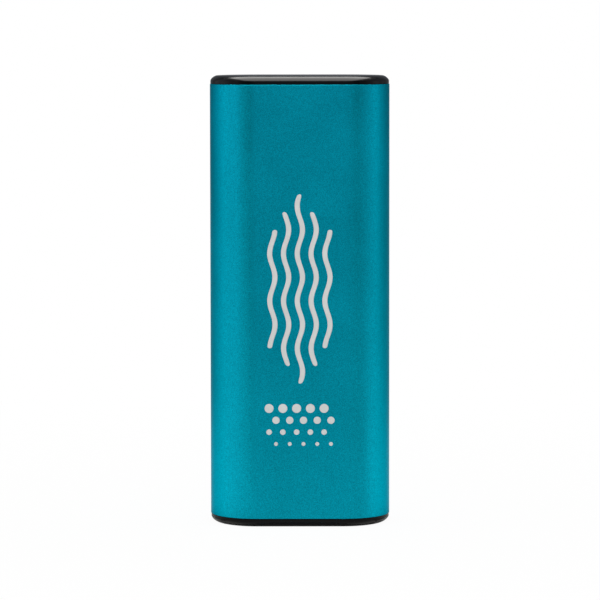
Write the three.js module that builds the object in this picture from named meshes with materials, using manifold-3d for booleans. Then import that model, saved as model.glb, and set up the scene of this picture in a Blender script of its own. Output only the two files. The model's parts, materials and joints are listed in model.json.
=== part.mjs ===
// Rechargeable hand warmer with a power bank socket.
// An oval aluminium sleeve is closed by two moulded caps. A two-part carrier inside it holds one cylindrical
// lithium cell and, below the cell, an upright circuit board. The board's two sockets, the button of its push
// switch and four charge lights look out through the base cap. A heater lies against each broad face.
// Millimetres, +Z up, +X to the right, the broad front faces -Y. The origin is the middle of the base.

import * as THREE from "three";
import { mergeVertices } from "three/addons/utils/BufferGeometryUtils.js";
import Module from "manifold-3d";

const wasm = await Module();
wasm.setup();

// Fits that every piece shares
const restGap = 0.05; // between faces that rest on each other
const looseGap = 0.2; // between pieces that drop in beside each other
const cutOverrun = 1; // how far a cutting solid runs past the faces it opens

// Cell: the size that sets the depth and most of the height
const cellDiameter = 18.4;
const cellCanLength = 64.2;
const cellClearance = 0.2;
const cellCrimpDepth = 0.7;
const cellCrimpWidth = 1.4;
const cellCrimpFromTop = 3;
const cellEdgeRound = 0.6;
const cellTerminalRadius = 3;
const cellTerminalHeight = 1;
const cellRingOuterRadius = 7.6;
const cellRingThickness = 0.3;
const tabThickness = 0.15;
const tabWidth = 5;

// Heater layers between the cell and each broad wall
const spreaderThickness = 0.4;
const filmThickness = 0.15;
const padThickness = 0.4;
const spreaderHalfWidth = 13;
const filmHalfWidth = 11;
const padHalfWidth = 10;
const heaterEndMargin = 4;
const filmTailHalfWidth = 5.6;
const filmTailDrop = 8;

// Sleeve
const sleeveWall = 1.1;
const sleeveEdgeChamfer = 0.2;
const endRoundReach = 10; // how far each rounded end comes in from the side
const railThickness = 0.9;
const railReach = 1.35;
const railSetback = 8; // rails are milled back this far so that the caps' skirts fit

// Caps
const capRimHeight = 0.65;
const capShoulderHeight = 1;
const capShoulderInset = 2;
const capPlateThickness = 2.2;
const skirtDepth = 4.5; // its wall fills the room between sleeve and carrier
const skirtClearance = 0.12;
const latchHalfWidth = 2.2;
const latchHeight = 1.1;
const latchReach = 0.75;
const latchFromSkirtEnd = 1;

// Carrier
const carrierWall = 1.1;
const carrierSplitGap = 0.1;
const bulkheadThickness = 1.2;
const topWallThickness = 1.1;
const topFoamThickness = 0.6;
const ribThickness = 1.2;
const ribCount = 4;
const windowFromCellSide = 2; // how far in the windows over the cell end
const runnerHalfWidth = 2.5;
const runnerClearance = 0.25;
const bossRadius = 1.9;
const bossEndMargin = 7;
const screwSeatDepthShare = 0.7; // of the half depth that the cell needs
const leadPortHeight = 5;

// Carrier and board screws
const screwShankRadius = 1;
const screwShankLength = 8.4;
const screwHeadRadius = 1.9;
const screwHeadHeight = 1.3;
const screwHeadTopShare = 0.7; // of the head's radius
const screwDriveWidth = 0.5;
const screwDriveDepth = 0.7;
const screwHoleClearance = 0.06;
const boardScrewShankLength = 3.2;

// Circuit board
const boardAboveOutlet = 9.3; // room over the outlet for the power parts
const boardThickness = 1.2;
const boardEdgeClearance = 0.15;
const boardScrewFromEdge = 2.4;
const boardScrewFromTop = 4.2;
const boardPostRadius = 2;

// Power outlet socket, the wide one
const outletWidth = 13.1;
const outletHeight = 5.7;
const outletLength = 14;
const outletShellWall = 0.3;
const outletRecess = 0.4;
const outletTongueFromSide = 1;
const outletTongueThickness = 1.84;
const outletTongueFromWall = 0.65;
const outletTongueRecess = 1.4;
const outletBlockLength = 2.6;
const outletContactWidth = 1;
const outletContactThickness = 0.25;
const outletContactLength = 7.6;
const outletInnerContactOffset = 1;
const outletOuterContactOffset = 3.5;
const outletLegWidth = 1.5;
const outletFingerWidth = 2.2;
const outletFingerLength = 5;
const outletFingerSlot = 0.35;
const outletCornerRadius = 0.6;

// Charging socket, the small one
const inletWidth = 7.5;
const inletHeight = 2.6;
const inletLength = 5.5;
const inletShellWall = 0.25;
const inletTaperWidth = 1.1;
const inletTaperHeight = 1.5;
const inletLipFlare = 0.2;
const inletLipLength = 0.6;
const inletTongueWidth = 3.9;
const inletTongueThickness = 0.65;
const inletTongueRecess = 0.8;
const inletBlockLength = 0.9;

// Openings in the base cap
const portClearance = 0.12;
const portLeadIn = 0.2;
const portWall = 0.8; // left standing between two openings

// Push switch and the button that works it
const switchWidth = 4.5;
const switchDepth = 3.3;
const switchCoverThickness = 0.3;
const plungerRadius = 1.2;
const plungerReach = 1;
const plungerRootLength = 0.8;
const plungerTravel = 0.3;
const plungerClearance = 0.12;
const buttonRadius = 3;
const buttonClearance = 0.15;
const buttonRecess = 0.2;
const buttonEdgeRound = 0.4;
const buttonDish = 0.25;
const buttonDishEdgeShare = 0.5; // of the dish's radius
const buttonFlangeRadius = 3.6;
const buttonFlangeThickness = 0.8;
const buttonStemRadius = 1;
const buttonPlay = 0.2; // free travel before the button meets the plunger

// Charge lights
const lightCount = 4;
const lightPitch = 3.2;
const lightWindowRadius = 0.7;
const lightWindowClearance = 0.1;
const lightBarThickness = 0.8;
const lightBarWidth = 1.7;
const lightWindowRecess = 0.1;
const lightBodyWidth = 1.6;
const lightBodyDepth = 0.9;
const lightBodyHeight = 0.8;
const lightFromBoard = 0.25;

// Parts on the board
const inductorWidth = 6;
const inductorHeight = 2.8;
const inductorCornerCut = 1;
const chipPitch = 1.27;
const chipHeight = 1.5;
const chipBodyWidth = 3.9;
const chipLegReach = 1;
const chipLegWidth = 0.4;
const chipLegThickness = 0.25;
const transistorWidth = 2.9;
const transistorBodyDepth = 1.5;
const transistorHeight = 1;
const capacitorWidth = 3.2;
const capacitorDepth = 1.6;
const capacitorHeight = 1.4;
const frontPartsFromTop = 4.2;

// Wires
const cellLeadRadius = 0.65;
const cellLeadDepthShare = 0.4; // of the cell's radius
const heaterLeadRadius = 0.5;
const heaterLeadSpread = 4.2;
const thermistorBeadRadius = 0.55;
const thermistorBeadLength = 3;
const thermistorLeadWidth = 0.9;
const thermistorLeadThickness = 0.4;

// Steps along the curves
const quarterSteps = 9;
const shoulderSteps = 5;
const roundSides = 28;
const smallRoundSides = 12;
const cornerSteps = 2;
const wireSides = 8;
const longWireSteps = 20;
const shortWireSteps = 8;
const mergeDistance = 1e-4;

// Places worked out across the depth, from the cell outwards
const cellRadius = cellDiameter / 2;
const windowHalfWidth = cellRadius - windowFromCellSide;
const heaterStack = spreaderThickness + filmThickness + padThickness + restGap * 3;
const innerHalfDepth = cellRadius + cellClearance + heaterStack;
const overallDepth = (innerHalfDepth + sleeveWall) * 2;
const carrierInset = sleeveWall + heaterStack + looseGap;
const carrierInnerInset = carrierInset + carrierWall;
const boardFront = outletHeight / 2;
const boardBack = boardFront + boardThickness;

// Places worked out across the width: both sockets and the button stand in one row, evenly about the middle
const inletHoleHalfWidth = inletWidth / 2 + inletLipFlare + portClearance + portLeadIn;
const outletHoleHalfWidth = outletWidth / 2 + portClearance + portLeadIn;
const buttonHoleRadius = buttonRadius + buttonClearance;
const rowHalfLength = inletHoleHalfWidth + outletHoleHalfWidth + buttonHoleRadius + portWall;
const inletX = inletHoleHalfWidth - rowHalfLength;
const outletX = inletX + inletHoleHalfWidth + portWall + outletHoleHalfWidth;
const switchX = rowHalfLength - buttonHoleRadius;
const switchHalfSpan = switchWidth / 2 + restGap + switchCoverThickness;
const boardHalfWidth = Math.max(inletWidth / 2 - inletX, switchX + switchHalfSpan);

// The flat faces are as wide as the board's rear corners need inside the carrier's rounded ends
const boardBackShare = boardBack / (overallDepth / 2 - carrierInnerInset);
const carrierEndReach = (endRoundReach - carrierInnerInset) * Math.sqrt(1 - boardBackShare ** 2);
const flatHalfWidth = boardHalfWidth + boardEdgeClearance - carrierEndReach;
const overallWidth = (flatHalfWidth + endRoundReach) * 2;
const innerHalfWidth = overallWidth / 2 - sleeveWall;

// Places worked out up the height, from the base upwards
const capHeight = capRimHeight + capShoulderHeight;
const carrierBottom = capPlateThickness + looseGap;
const boardBottom = carrierBottom + looseGap;
const boardTop = outletRecess + outletLength + boardAboveOutlet;
const boardHeight = boardTop - boardBottom;
const bulkheadBottom = boardTop + looseGap * 2;
const bulkheadTop = bulkheadBottom + bulkheadThickness;
const negativeTabBottom = bulkheadTop + restGap;
const cellBottom = negativeTabBottom + tabThickness + restGap;
const cellCanTop = cellBottom + cellCanLength;
const terminalTop = cellCanTop + restGap + cellTerminalHeight;
const positiveTabBottom = terminalTop + restGap;
const topWallBottom = positiveTabBottom + tabThickness + looseGap;
const carrierTop = topWallBottom + topWallThickness;
const topPlateInside = carrierTop + restGap * 2 + topFoamThickness;
const overallHeight = topPlateInside + capPlateThickness;
const sleeveBottom = capHeight + restGap;
const sleeveTop = overallHeight - capHeight - restGap;
const heaterBottom = bulkheadTop + heaterEndMargin;
const heaterTop = cellCanTop - heaterEndMargin;

// The closed mesh of a three.js geometry as a solid that can be joined and cut.
function solidOf(geometry) {
  const bare = new THREE.BufferGeometry();
  bare.setAttribute("position", geometry.getAttribute("position"));
  bare.setIndex(geometry.index);
  const merged = mergeVertices(bare, mergeDistance);
  const vertProperties = merged.getAttribute("position").array;
  const triVerts = new Uint32Array(merged.index.array);
  return new wasm.Manifold(new wasm.Mesh({ numProp: 3, vertProperties, triVerts }));
}

// The surface of a solid as a flat-shaded geometry.
function geometryOf(solid) {
  const { vertProperties, triVerts } = solid.getMesh();
  const indexed = new THREE.BufferGeometry();
  indexed.setAttribute("position", new THREE.BufferAttribute(vertProperties, 3));
  indexed.setIndex(new THREE.BufferAttribute(triVerts, 1));
  const geometry = indexed.toNonIndexed();
  geometry.computeVertexNormals();
  return geometry;
}

// One solid from several that touch or overlap.
function join(...solids) {
  return solids.reduce((whole, solid) => whole.add(solid));
}

// A solid with others taken out of it.
function cut(solid, ...tools) {
  return tools.reduce((left, tool) => left.subtract(tool), solid);
}

// A box given by its two limits along each axis.
function box([left, right], [front, back], [bottom, top]) {
  const geometry = new THREE.BoxGeometry(right - left, back - front, top - bottom);
  geometry.translate((left + right) / 2, (front + back) / 2, (bottom + top) / 2);
  return solidOf(geometry);
}

// The two limits of a stretch that lies evenly about a middle.
function about(middle, halfLength) {
  return [middle - halfLength, middle + halfLength];
}

// An upright round bar.
function upright(radius, [bottom, top], x, y, sides = roundSides) {
  const geometry = new THREE.CylinderGeometry(radius, radius, top - bottom, sides);
  geometry.rotateX(Math.PI / 2);
  geometry.translate(x, y, (bottom + top) / 2);
  return solidOf(geometry);
}

// A round bar that runs from front to back.
function acrossDepth(radius, [front, back], x, z, sides = roundSides) {
  const geometry = new THREE.CylinderGeometry(radius, radius, back - front, sides);
  geometry.translate(x, (front + back) / 2, z);
  return solidOf(geometry);
}

// A turned piece about the Z axis, from [radius, height] points that start and end on it.
function turned(points, sides = roundSides) {
  const profile = points.map(([radius, height]) => new THREE.Vector2(radius, height));
  const geometry = new THREE.LatheGeometry(profile, sides);
  geometry.rotateX(Math.PI / 2);
  return solidOf(geometry);
}

// The hand warmer's oval outline, brought in evenly by an inset, counter-clockwise from the front right.
function ovalPoints(inset) {
  const reach = endRoundReach - inset;
  const halfDepth = overallDepth / 2 - inset;
  const points = [];
  for (const side of [1, -1]) {
    for (let step = 0; step <= quarterSteps * 2; step += 1) {
      const angle = (Math.PI / 2) * (step / quarterSteps - 1);
      const x = side * (flatHalfWidth + reach * Math.cos(angle));
      points.push(new THREE.Vector2(x, side * halfDepth * Math.sin(angle)));
    }
  }
  return points;
}

// A rectangle with rounded corners about a middle, counter-clockwise.
function roundedRectanglePoints(width, height, radius, [x, y]) {
  const corners = [[1, 1], [-1, 1], [-1, -1], [1, -1]];
  return corners.flatMap(([right, back], quadrant) => {
    const cornerX = x + right * (width / 2 - radius);
    const cornerY = y + back * (height / 2 - radius);
    return Array.from({ length: cornerSteps + 1 }, (_, step) => {
      const angle = (Math.PI / 2) * (quadrant + step / cornerSteps);
      return new THREE.Vector2(cornerX + radius * Math.cos(angle), cornerY + radius * Math.sin(angle));
    });
  });
}

// A closed solid through convex outlines with equal numbers of points, given as [points, height] upwards.
function loft(rings) {
  const count = rings[0][0].length;
  const positions = rings.flatMap(([points, z]) => points.flatMap(({ x, y }) => [x, y, z]));
  const index = [];
  for (let level = 0; level < rings.length - 1; level += 1) {
    for (let step = 0; step < count; step += 1) {
      const here = level * count + step;
      const next = level * count + ((step + 1) % count);
      index.push(here, next, next + count, here, next + count, here + count);
    }
  }
  const last = (rings.length - 1) * count;
  for (let step = 1; step < count - 1; step += 1) {
    index.push(0, step + 1, step);
    index.push(last, last + step, last + step + 1);
  }
  const geometry = new THREE.BufferGeometry();
  geometry.setAttribute("position", new THREE.Float32BufferAttribute(positions, 3));
  geometry.setIndex(index);
  return solidOf(geometry);
}

// A straight column with the oval outline.
function ovalColumn(inset, [bottom, top]) {
  return loft([
    [ovalPoints(inset), bottom],
    [ovalPoints(inset), top],
  ]);
}

// An oval layer between two insets.
function ovalLayer(outerInset, innerInset, [bottom, top]) {
  const core = ovalColumn(innerInset, [bottom - cutOverrun, top + cutOverrun]);
  return cut(ovalColumn(outerInset, [bottom, top]), core);
}

// A flat outline drawn across the width and extruded upwards.
function column(points, [bottom, top]) {
  return loft([
    [points, bottom],
    [points, top],
  ]);
}

// A wire of round section along a smooth curve through points.
function wire(points, radius, steps) {
  const path = new THREE.CatmullRomCurve3(points.map((point) => new THREE.Vector3(...point)));
  const section = new THREE.Shape();
  for (let side = 0; side < wireSides; side += 1) {
    const angle = (Math.PI * 2 * side) / wireSides;
    const [x, y] = [radius * Math.cos(angle), radius * Math.sin(angle)];
    if (side === 0) section.moveTo(x, y);
    else section.lineTo(x, y);
  }
  return solidOf(new THREE.ExtrudeGeometry(section, { steps, extrudePath: path }));
}

// Aluminium sleeve: an oval tube with chamfered ends and two guide rails inside each rounded end.
function makeSleeve() {
  const outside = loft([
    [ovalPoints(sleeveEdgeChamfer), sleeveBottom],
    [ovalPoints(0), sleeveBottom + sleeveEdgeChamfer],
    [ovalPoints(0), sleeveTop - sleeveEdgeChamfer],
    [ovalPoints(sleeveEdgeChamfer), sleeveTop],
  ]);
  const bore = ovalColumn(sleeveWall, [sleeveBottom - cutOverrun, sleeveTop + cutOverrun]);
  const tube = cut(outside, bore);
  const railMiddle = runnerHalfWidth + runnerClearance + railThickness / 2;
  const railEnds = [sleeveBottom + railSetback, sleeveTop - railSetback];
  const rails = [];
  for (const side of [1, -1]) {
    for (const face of [1, -1]) {
      const reach = about(side * (innerHalfWidth - railReach / 2), railReach / 2);
      rails.push(box(reach, about(face * railMiddle, railThickness / 2), railEnds));
    }
  }
  return join(tube, ...rails);
}

// The form both caps share, standing on its outer face: plate, rounded shoulder, rim and inner skirt. The rim
// stands in by the sleeve's chamfer, so that the bright chamfer frames it.
function makeCapBlank() {
  const rings = [];
  for (let step = 0; step <= shoulderSteps; step += 1) {
    const angle = ((Math.PI / 2) * step) / shoulderSteps;
    const inset = sleeveEdgeChamfer + capShoulderInset * (1 - Math.sin(angle));
    rings.push([ovalPoints(inset), capShoulderHeight * (1 - Math.cos(angle))]);
  }
  rings.push([ovalPoints(sleeveEdgeChamfer), capHeight]);
  const skirtInset = sleeveWall + skirtClearance;
  const skirtEnd = capHeight + skirtDepth;
  const skirtHollow = ovalColumn(carrierInset - restGap, [capPlateThickness, skirtEnd + cutOverrun]);
  const skirt = ovalColumn(skirtInset, [capHeight - capRimHeight, skirtEnd]);
  const latchTop = skirtEnd - latchFromSkirtEnd + looseGap;
  const latchBottom = latchTop - latchHeight - looseGap * 2;
  const acrossCap = about(0, overallWidth / 2);
  const latchSlots = box(acrossCap, about(0, latchHalfWidth + looseGap), [latchBottom, latchTop]);
  return cut(join(loft(rings), skirt), skirtHollow, latchSlots);
}

// The charge lights' places across the width, evenly about the middle.
function lightPlaces() {
  return Array.from({ length: lightCount }, (_, index) => (index - (lightCount - 1) / 2) * lightPitch);
}

// Y of the row of charge lights, behind the board.
const lightRowY = boardBack + lightFromBoard + lightBarWidth / 2;

// Points of the charging socket's outline, grown outwards by an amount; its taper faces the front.
function inletPoints(grow) {
  const middleY = boardFront - restGap - inletHeight / 2;
  const right = inletWidth / 2 + grow;
  const back = inletHeight / 2 + grow;
  const taperTop = inletTaperHeight - inletHeight / 2;
  const taperRight = inletWidth / 2 - inletTaperWidth + grow / 2;
  const outline = [
    [taperRight, -back],
    [right, taperTop],
    [right, back],
    [-right, back],
    [-right, taperTop],
    [-taperRight, -back],
  ];
  return outline.map(([x, y]) => new THREE.Vector2(inletX + x, middleY + y));
}

// A tapering hole through the base plate for outlines that shrink inwards over the lead-in.
function leadInHole(wide, narrow) {
  return loft([
    [wide, -cutOverrun],
    [wide, 0],
    [narrow, portLeadIn],
    [narrow, capPlateThickness + cutOverrun],
  ]);
}

// Base cap: the cap form with openings for both sockets, the button and the charge lights.
function makeBaseCap() {
  const outletHole = (grow) =>
    roundedRectanglePoints(
      outletWidth + (portClearance + grow) * 2,
      outletHeight + (portClearance + grow) * 2,
      outletCornerRadius + grow,
      [outletX, 0],
    );
  const openings = [
    leadInHole(outletHole(portLeadIn), outletHole(0)),
    leadInHole(
      inletPoints(inletLipFlare + portClearance + portLeadIn),
      inletPoints(inletLipFlare + portClearance),
    ),
    upright(buttonHoleRadius, [-cutOverrun, capPlateThickness + cutOverrun], switchX, 0),
  ];
  for (const x of lightPlaces()) {
    const depth = [-cutOverrun, capPlateThickness + cutOverrun];
    const radius = lightWindowRadius + lightWindowClearance;
    openings.push(upright(radius, depth, x, lightRowY, smallRoundSides));
  }
  return cut(makeCapBlank(), ...openings);
}

// Screw places on the carrier, as [x, z]: one near each end of both side pockets.
const bossX = (cellRadius + innerHalfWidth - heaterStack) / 2;
const bossHeights = [bulkheadTop + bossEndMargin, topWallBottom - bossEndMargin];
const carrierScrewPlaces = bossHeights.flatMap((z) => [-bossX, bossX].map((x) => [x, z]));
const carrierScrewSeatY = -(cellRadius + cellClearance) * screwSeatDepthShare;
const boardScrewX = boardHalfWidth - boardScrewFromEdge;
const boardScrewZ = boardTop - boardScrewFromTop;

// Heights at which the cradle ribs stand along the cell.
function ribHeights() {
  const first = bossHeights[0] + bossRadius + ribThickness;
  const last = bossHeights[1] - bossRadius - ribThickness;
  return Array.from({ length: ribCount }, (_, index) => first + ((last - first) * index) / (ribCount - 1));
}

// A post from front to back whose outer side runs straight out into the carrier's side wall.
function wallSidePost(radius, depth, x, z) {
  const outer = Math.sign(x) * (overallWidth / 2);
  const web = box([Math.min(x, outer), Math.max(x, outer)], depth, about(z, radius));
  return join(acrossDepth(radius, depth, x, z, smallRoundSides), web);
}

// Carrier: the whole moulding before it is split into a front and a rear half.
function makeCarrier() {
  const wholeHeight = [carrierBottom, carrierTop];
  const shell = ovalColumn(carrierInset, wholeHeight);
  const bay = ovalColumn(carrierInnerInset, [carrierBottom - cutOverrun, bulkheadBottom]);
  const pocket = ovalColumn(carrierInnerInset, [bulkheadTop, topWallBottom]);
  const wallMiddle = (height) => ovalColumn(carrierInnerInset - carrierWall / 2, height);
  const ribs = ribHeights().map((z) => wallMiddle(about(z, ribThickness / 2)));
  const bosses = carrierScrewPlaces.map(([x, z]) => {
    const post = wallSidePost(bossRadius, about(0, overallDepth / 2), x, z);
    return post.intersect(wallMiddle(about(z, bossRadius + cutOverrun)));
  });
  const runnerEnds = [sleeveBottom + railSetback, sleeveTop - railSetback];
  const runners = box(about(0, innerHalfWidth), about(0, runnerHalfWidth), runnerEnds).intersect(
    ovalColumn(sleeveWall + runnerClearance, runnerEnds),
  );
  const latchBottom = capHeight + skirtDepth - latchFromSkirtEnd - latchHeight;
  const latchReachX = overallWidth / 2 - carrierInset + latchReach;
  const latches = [latchBottom, overallHeight - latchBottom - latchHeight].map((bottom) =>
    box(about(0, latchReachX), about(0, latchHalfWidth), [bottom, bottom + latchHeight]),
  );
  const outside = join(shell, runners, ...latches);
  const hollow = cut(outside, bay, pocket);
  const filled = join(hollow, ...ribs, ...bosses);
  const cellBay = upright(cellRadius + cellClearance, [bulkheadTop, topWallBottom], 0, 0);
  const windows = box(
    about(0, windowHalfWidth),
    about(0, overallDepth / 2),
    [heaterBottom, heaterTop],
  );
  return cut(filled, cellBay, windows, ...carrierPassages());
}

// Ways through the carrier for the screws, board, leads and cell tab.
function carrierPassages() {
  const holes = carrierScrewPlaces.flatMap(([x, z]) => [
    acrossDepth(
      screwShankRadius + screwHoleClearance,
      [carrierScrewSeatY - cutOverrun, carrierScrewSeatY + screwShankLength + looseGap],
      x,
      z,
      smallRoundSides,
    ),
    acrossDepth(
      screwHeadRadius + looseGap,
      [-overallDepth / 2, carrierScrewSeatY],
      x,
      z,
      smallRoundSides,
    ),
  ]);
  const portTop = boardTop - looseGap;
  const leadPorts = box(
    about(0, filmTailHalfWidth),
    about(0, overallDepth / 2),
    [portTop - leadPortHeight, portTop],
  );
  const cellLeadWay = box(
    about(cellLeadX, cellLeadRadius + looseGap),
    [cellLeadY - cellLeadRadius - looseGap, cellLeadBoardY + cellLeadRadius + looseGap],
    [bulkheadBottom - cutOverrun, topWallBottom],
  );
  const tabWay = box(
    about(0, tabWidth / 2 + looseGap),
    [boardBack - looseGap, boardBack + tabThickness + looseGap * 2],
    [bulkheadBottom - cutOverrun, bulkheadTop + cutOverrun],
  );
  const thermistorWay = box(
    about(thermistorX, thermistorLeadWidth / 2 + looseGap),
    [-overallDepth / 2, thermistorTurnY + thermistorLeadThickness + looseGap],
    [bulkheadBottom - cutOverrun, heaterBottom + cutOverrun],
  );
  return [...holes, leadPorts, cellLeadWay, tabWay, thermistorWay];
}

// Posts on the rear half that the board is screwed down to.
function makeBoardPosts() {
  const within = ovalColumn(carrierInnerInset - carrierWall / 2, [carrierBottom, bulkheadTop]);
  const posts = [-boardScrewX, boardScrewX].map((x) => {
    const depth = [boardBack + restGap, overallDepth / 2];
    const pilotDepth = [boardFront, boardBack + boardScrewShankLength];
    const pilotRadius = screwShankRadius + screwHoleClearance;
    const pilot = acrossDepth(pilotRadius, pilotDepth, x, boardScrewZ, smallRoundSides);
    return cut(wallSidePost(boardPostRadius, depth, x, boardScrewZ).intersect(within), pilot);
  });
  return join(...posts);
}

// The front or rear half of the carrier, as the part of it on one side of the split.
function makeCarrierHalf(face) {
  const depth = [carrierSplitGap / 2, overallDepth];
  const limits = face > 0 ? depth : [-depth[1], -depth[0]];
  const half = box(about(0, overallWidth), limits, [0, overallHeight]);
  const part = makeCarrier().intersect(half);
  return face > 0 ? join(part, makeBoardPosts()) : part;
}

// A cross-headed screw with its point upwards and the underside of its head at zero.
function makeScrew(shankLength) {
  const blank = turned(
    [
      [0, -screwHeadHeight],
      [screwHeadRadius * screwHeadTopShare, -screwHeadHeight],
      [screwHeadRadius, -screwHeadHeight / 2],
      [screwHeadRadius, 0],
      [screwShankRadius, 0],
      [screwShankRadius, shankLength - screwShankRadius],
      [0, shankLength],
    ],
    smallRoundSides,
  );
  const depth = [-screwHeadHeight - cutOverrun, screwDriveDepth - screwHeadHeight];
  const long = about(0, screwShankRadius);
  const narrow = about(0, screwDriveWidth / 2);
  return cut(blank, box(long, narrow, depth), box(narrow, long, depth));
}

// Lithium cell: a can with rounded edges and the crimp near its top.
function makeCell() {
  const crimpTop = cellCanLength - cellCrimpFromTop + cellCrimpWidth;
  const crimpMiddle = cellCanLength - cellCrimpFromTop + cellCrimpWidth / 2;
  const can = turned([
    [0, 0],
    [cellRadius - cellEdgeRound, 0],
    [cellRadius, cellEdgeRound],
    [cellRadius, cellCanLength - cellCrimpFromTop],
    [cellRadius - cellCrimpDepth, crimpMiddle],
    [cellRadius, crimpTop],
    [cellRadius, cellCanLength - cellEdgeRound],
    [cellRadius - cellEdgeRound, cellCanLength],
    [0, cellCanLength],
  ]);
  return can;
}

// A ring that lies flat round the cell's positive end.
function makeCellRing() {
  const ring = upright(cellRingOuterRadius, [0, cellRingThickness], 0, 0);
  const hole = [-cutOverrun, cellRingThickness + cutOverrun];
  return cut(ring, upright(cellTerminalRadius + looseGap, hole, 0, 0));
}

// The cell's positive end: a stepped steel button.
function makeTerminal() {
  return turned(
    [
      [0, 0],
      [cellTerminalRadius, 0],
      [cellTerminalRadius, cellTerminalHeight / 2],
      [cellTerminalRadius - cellEdgeRound, cellTerminalHeight],
      [0, cellTerminalHeight],
    ],
    smallRoundSides,
  );
}

// Where the cell's red lead runs down the side pocket, and where it meets the board.
const cellLeadX = (cellRadius + bossX - bossRadius) / 2;
const cellLeadY = cellRadius * cellLeadDepthShare;
const cellLeadBoardY = boardBack + cellLeadRadius + restGap;

// Nickel strip from the cell's positive end out to the red lead.
function makePositiveTab() {
  const reach = [-cellTerminalRadius, cellLeadX + cellLeadRadius];
  return box(reach, about(0, tabWidth / 2), [positiveTabBottom, positiveTabBottom + tabThickness]);
}

// Nickel strip from under the cell down to the back of the board.
function makeNegativeTab() {
  const across = about(0, tabWidth / 2);
  const back = boardBack + restGap + tabThickness;
  const under = box(across, [-tabWidth / 2, back], [negativeTabBottom, negativeTabBottom + tabThickness]);
  const upstand = box(across, [boardBack + restGap, back], [boardTop - tabWidth / 2, negativeTabBottom]);
  return join(under, upstand);
}

// The red lead, from the positive tab down past the cell to the back of the board.
function makeCellLead() {
  const top = positiveTabBottom - restGap;
  const straight = cellLeadRadius * 4;
  return wire(
    [
      [cellLeadX, tabWidth / 2 - cellLeadRadius, top],
      [cellLeadX, tabWidth / 2 - cellLeadRadius, top - straight],
      [cellLeadX, cellLeadY, top - straight * 2],
      [cellLeadX, cellLeadY, cellBottom + straight * 2],
      [cellLeadX, cellLeadBoardY, bulkheadTop],
      [cellLeadX, cellLeadBoardY, boardTop - straight],
    ],
    cellLeadRadius,
    longWireSteps,
  );
}

// Insets of the heater layers, from the sleeve's wall inwards.
const spreaderInset = sleeveWall + restGap;
const filmInset = spreaderInset + spreaderThickness + restGap;
const padInset = filmInset + filmThickness + restGap;

// One curved layer of a heater on the front (-1) or rear (1) face.
function heaterLayer(face, inset, thickness, halfWidth, height) {
  const layer = ovalLayer(inset, inset + thickness, height);
  const side = [0, overallDepth / 2];
  return layer.intersect(box(about(0, halfWidth), face > 0 ? side : [-side[1], -side[0]], height));
}

// Heater film with the narrow tail that carries its solder pads down to the lead port.
function makeHeaterFilm(face) {
  const sheet = heaterLayer(face, filmInset, filmThickness, filmHalfWidth, [heaterBottom, heaterTop]);
  const tailBottom = heaterBottom - filmTailDrop;
  const tailTop = heaterBottom + filmTailHalfWidth;
  const tailHalfWidth = filmTailHalfWidth - looseGap;
  return join(sheet, heaterLayer(face, filmInset, filmThickness, tailHalfWidth, [tailBottom, tailTop]));
}

// A short lead from a film's tail through the carrier to the near face of the board.
function makeHeaterLead(face, side) {
  const from = face * (overallDepth / 2 - filmInset - filmThickness - restGap);
  const to = face > 0 ? boardBack + restGap : boardFront - restGap;
  const z = heaterBottom - filmTailDrop + heaterLeadRadius * 2;
  const sag = z - heaterLeadRadius * 2;
  const stub = heaterLeadRadius * face;
  return wire(
    [
      [side * heaterLeadSpread, from, z],
      [side * heaterLeadSpread, from - stub, z],
      [side * heaterLeadSpread, (from + to) / 2, sag],
      [side * heaterLeadSpread, to + stub, z],
      [side * heaterLeadSpread, to, z],
    ],
    heaterLeadRadius,
    shortWireSteps,
  );
}

// Where the temperature sensor lies: in the corner between the cell, the window's edge and the front heater.
const thermistorX = windowHalfWidth - thermistorBeadRadius - looseGap;
const thermistorY = -(innerHalfDepth - heaterStack - thermistorBeadRadius - looseGap);
const thermistorTurnY = -(innerHalfDepth - heaterStack - carrierWall * 2);

// Temperature sensor: a bead on a flat twin lead that turns in to the front of the board.
function makeThermistor() {
  const beadBottom = heaterBottom + heaterEndMargin;
  const bead = new THREE.CapsuleGeometry(
    thermistorBeadRadius,
    thermistorBeadLength - thermistorBeadRadius * 2,
    wireSides / 4,
    wireSides,
  );
  bead.rotateX(Math.PI / 2);
  bead.translate(thermistorX, thermistorY, beadBottom + thermistorBeadLength / 2);
  const halfWidth = thermistorLeadWidth / 2;
  const halfThickness = thermistorLeadThickness / 2;
  const endZ = boardTop - thermistorBeadLength / 2;
  const path = new THREE.CatmullRomCurve3([
    new THREE.Vector3(thermistorX, thermistorY, beadBottom + thermistorBeadRadius),
    new THREE.Vector3(thermistorX, thermistorY, heaterBottom),
    new THREE.Vector3(thermistorX, thermistorTurnY, bulkheadTop),
    new THREE.Vector3(thermistorX, thermistorTurnY, boardTop),
    new THREE.Vector3(thermistorX, (thermistorTurnY + boardFront) / 2, endZ),
    new THREE.Vector3(thermistorX, boardFront - restGap, endZ),
  ]);
  const section = new THREE.Shape([
    new THREE.Vector2(-halfThickness, -halfWidth),
    new THREE.Vector2(halfThickness, -halfWidth),
    new THREE.Vector2(halfThickness, halfWidth),
    new THREE.Vector2(-halfThickness, halfWidth),
  ]);
  const lead = new THREE.ExtrudeGeometry(section, { steps: longWireSteps, extrudePath: path });
  return join(solidOf(bead), solidOf(lead));
}

// Circuit board with slots for the outlet's legs and holes for its two screws.
function makeBoard() {
  const depth = [boardFront, boardBack];
  const board = box(about(0, boardHalfWidth), depth, [boardBottom, boardTop]);
  const through = [boardFront - cutOverrun, boardBack + cutOverrun];
  const holes = [-boardScrewX, boardScrewX].map((x) =>
    acrossDepth(screwShankRadius + screwHoleClearance, through, x, boardScrewZ, smallRoundSides),
  );
  const slots = outletLegs(looseGap / 2, boardThickness + cutOverrun);
  return cut(board, ...holes, ...slots);
}

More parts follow.
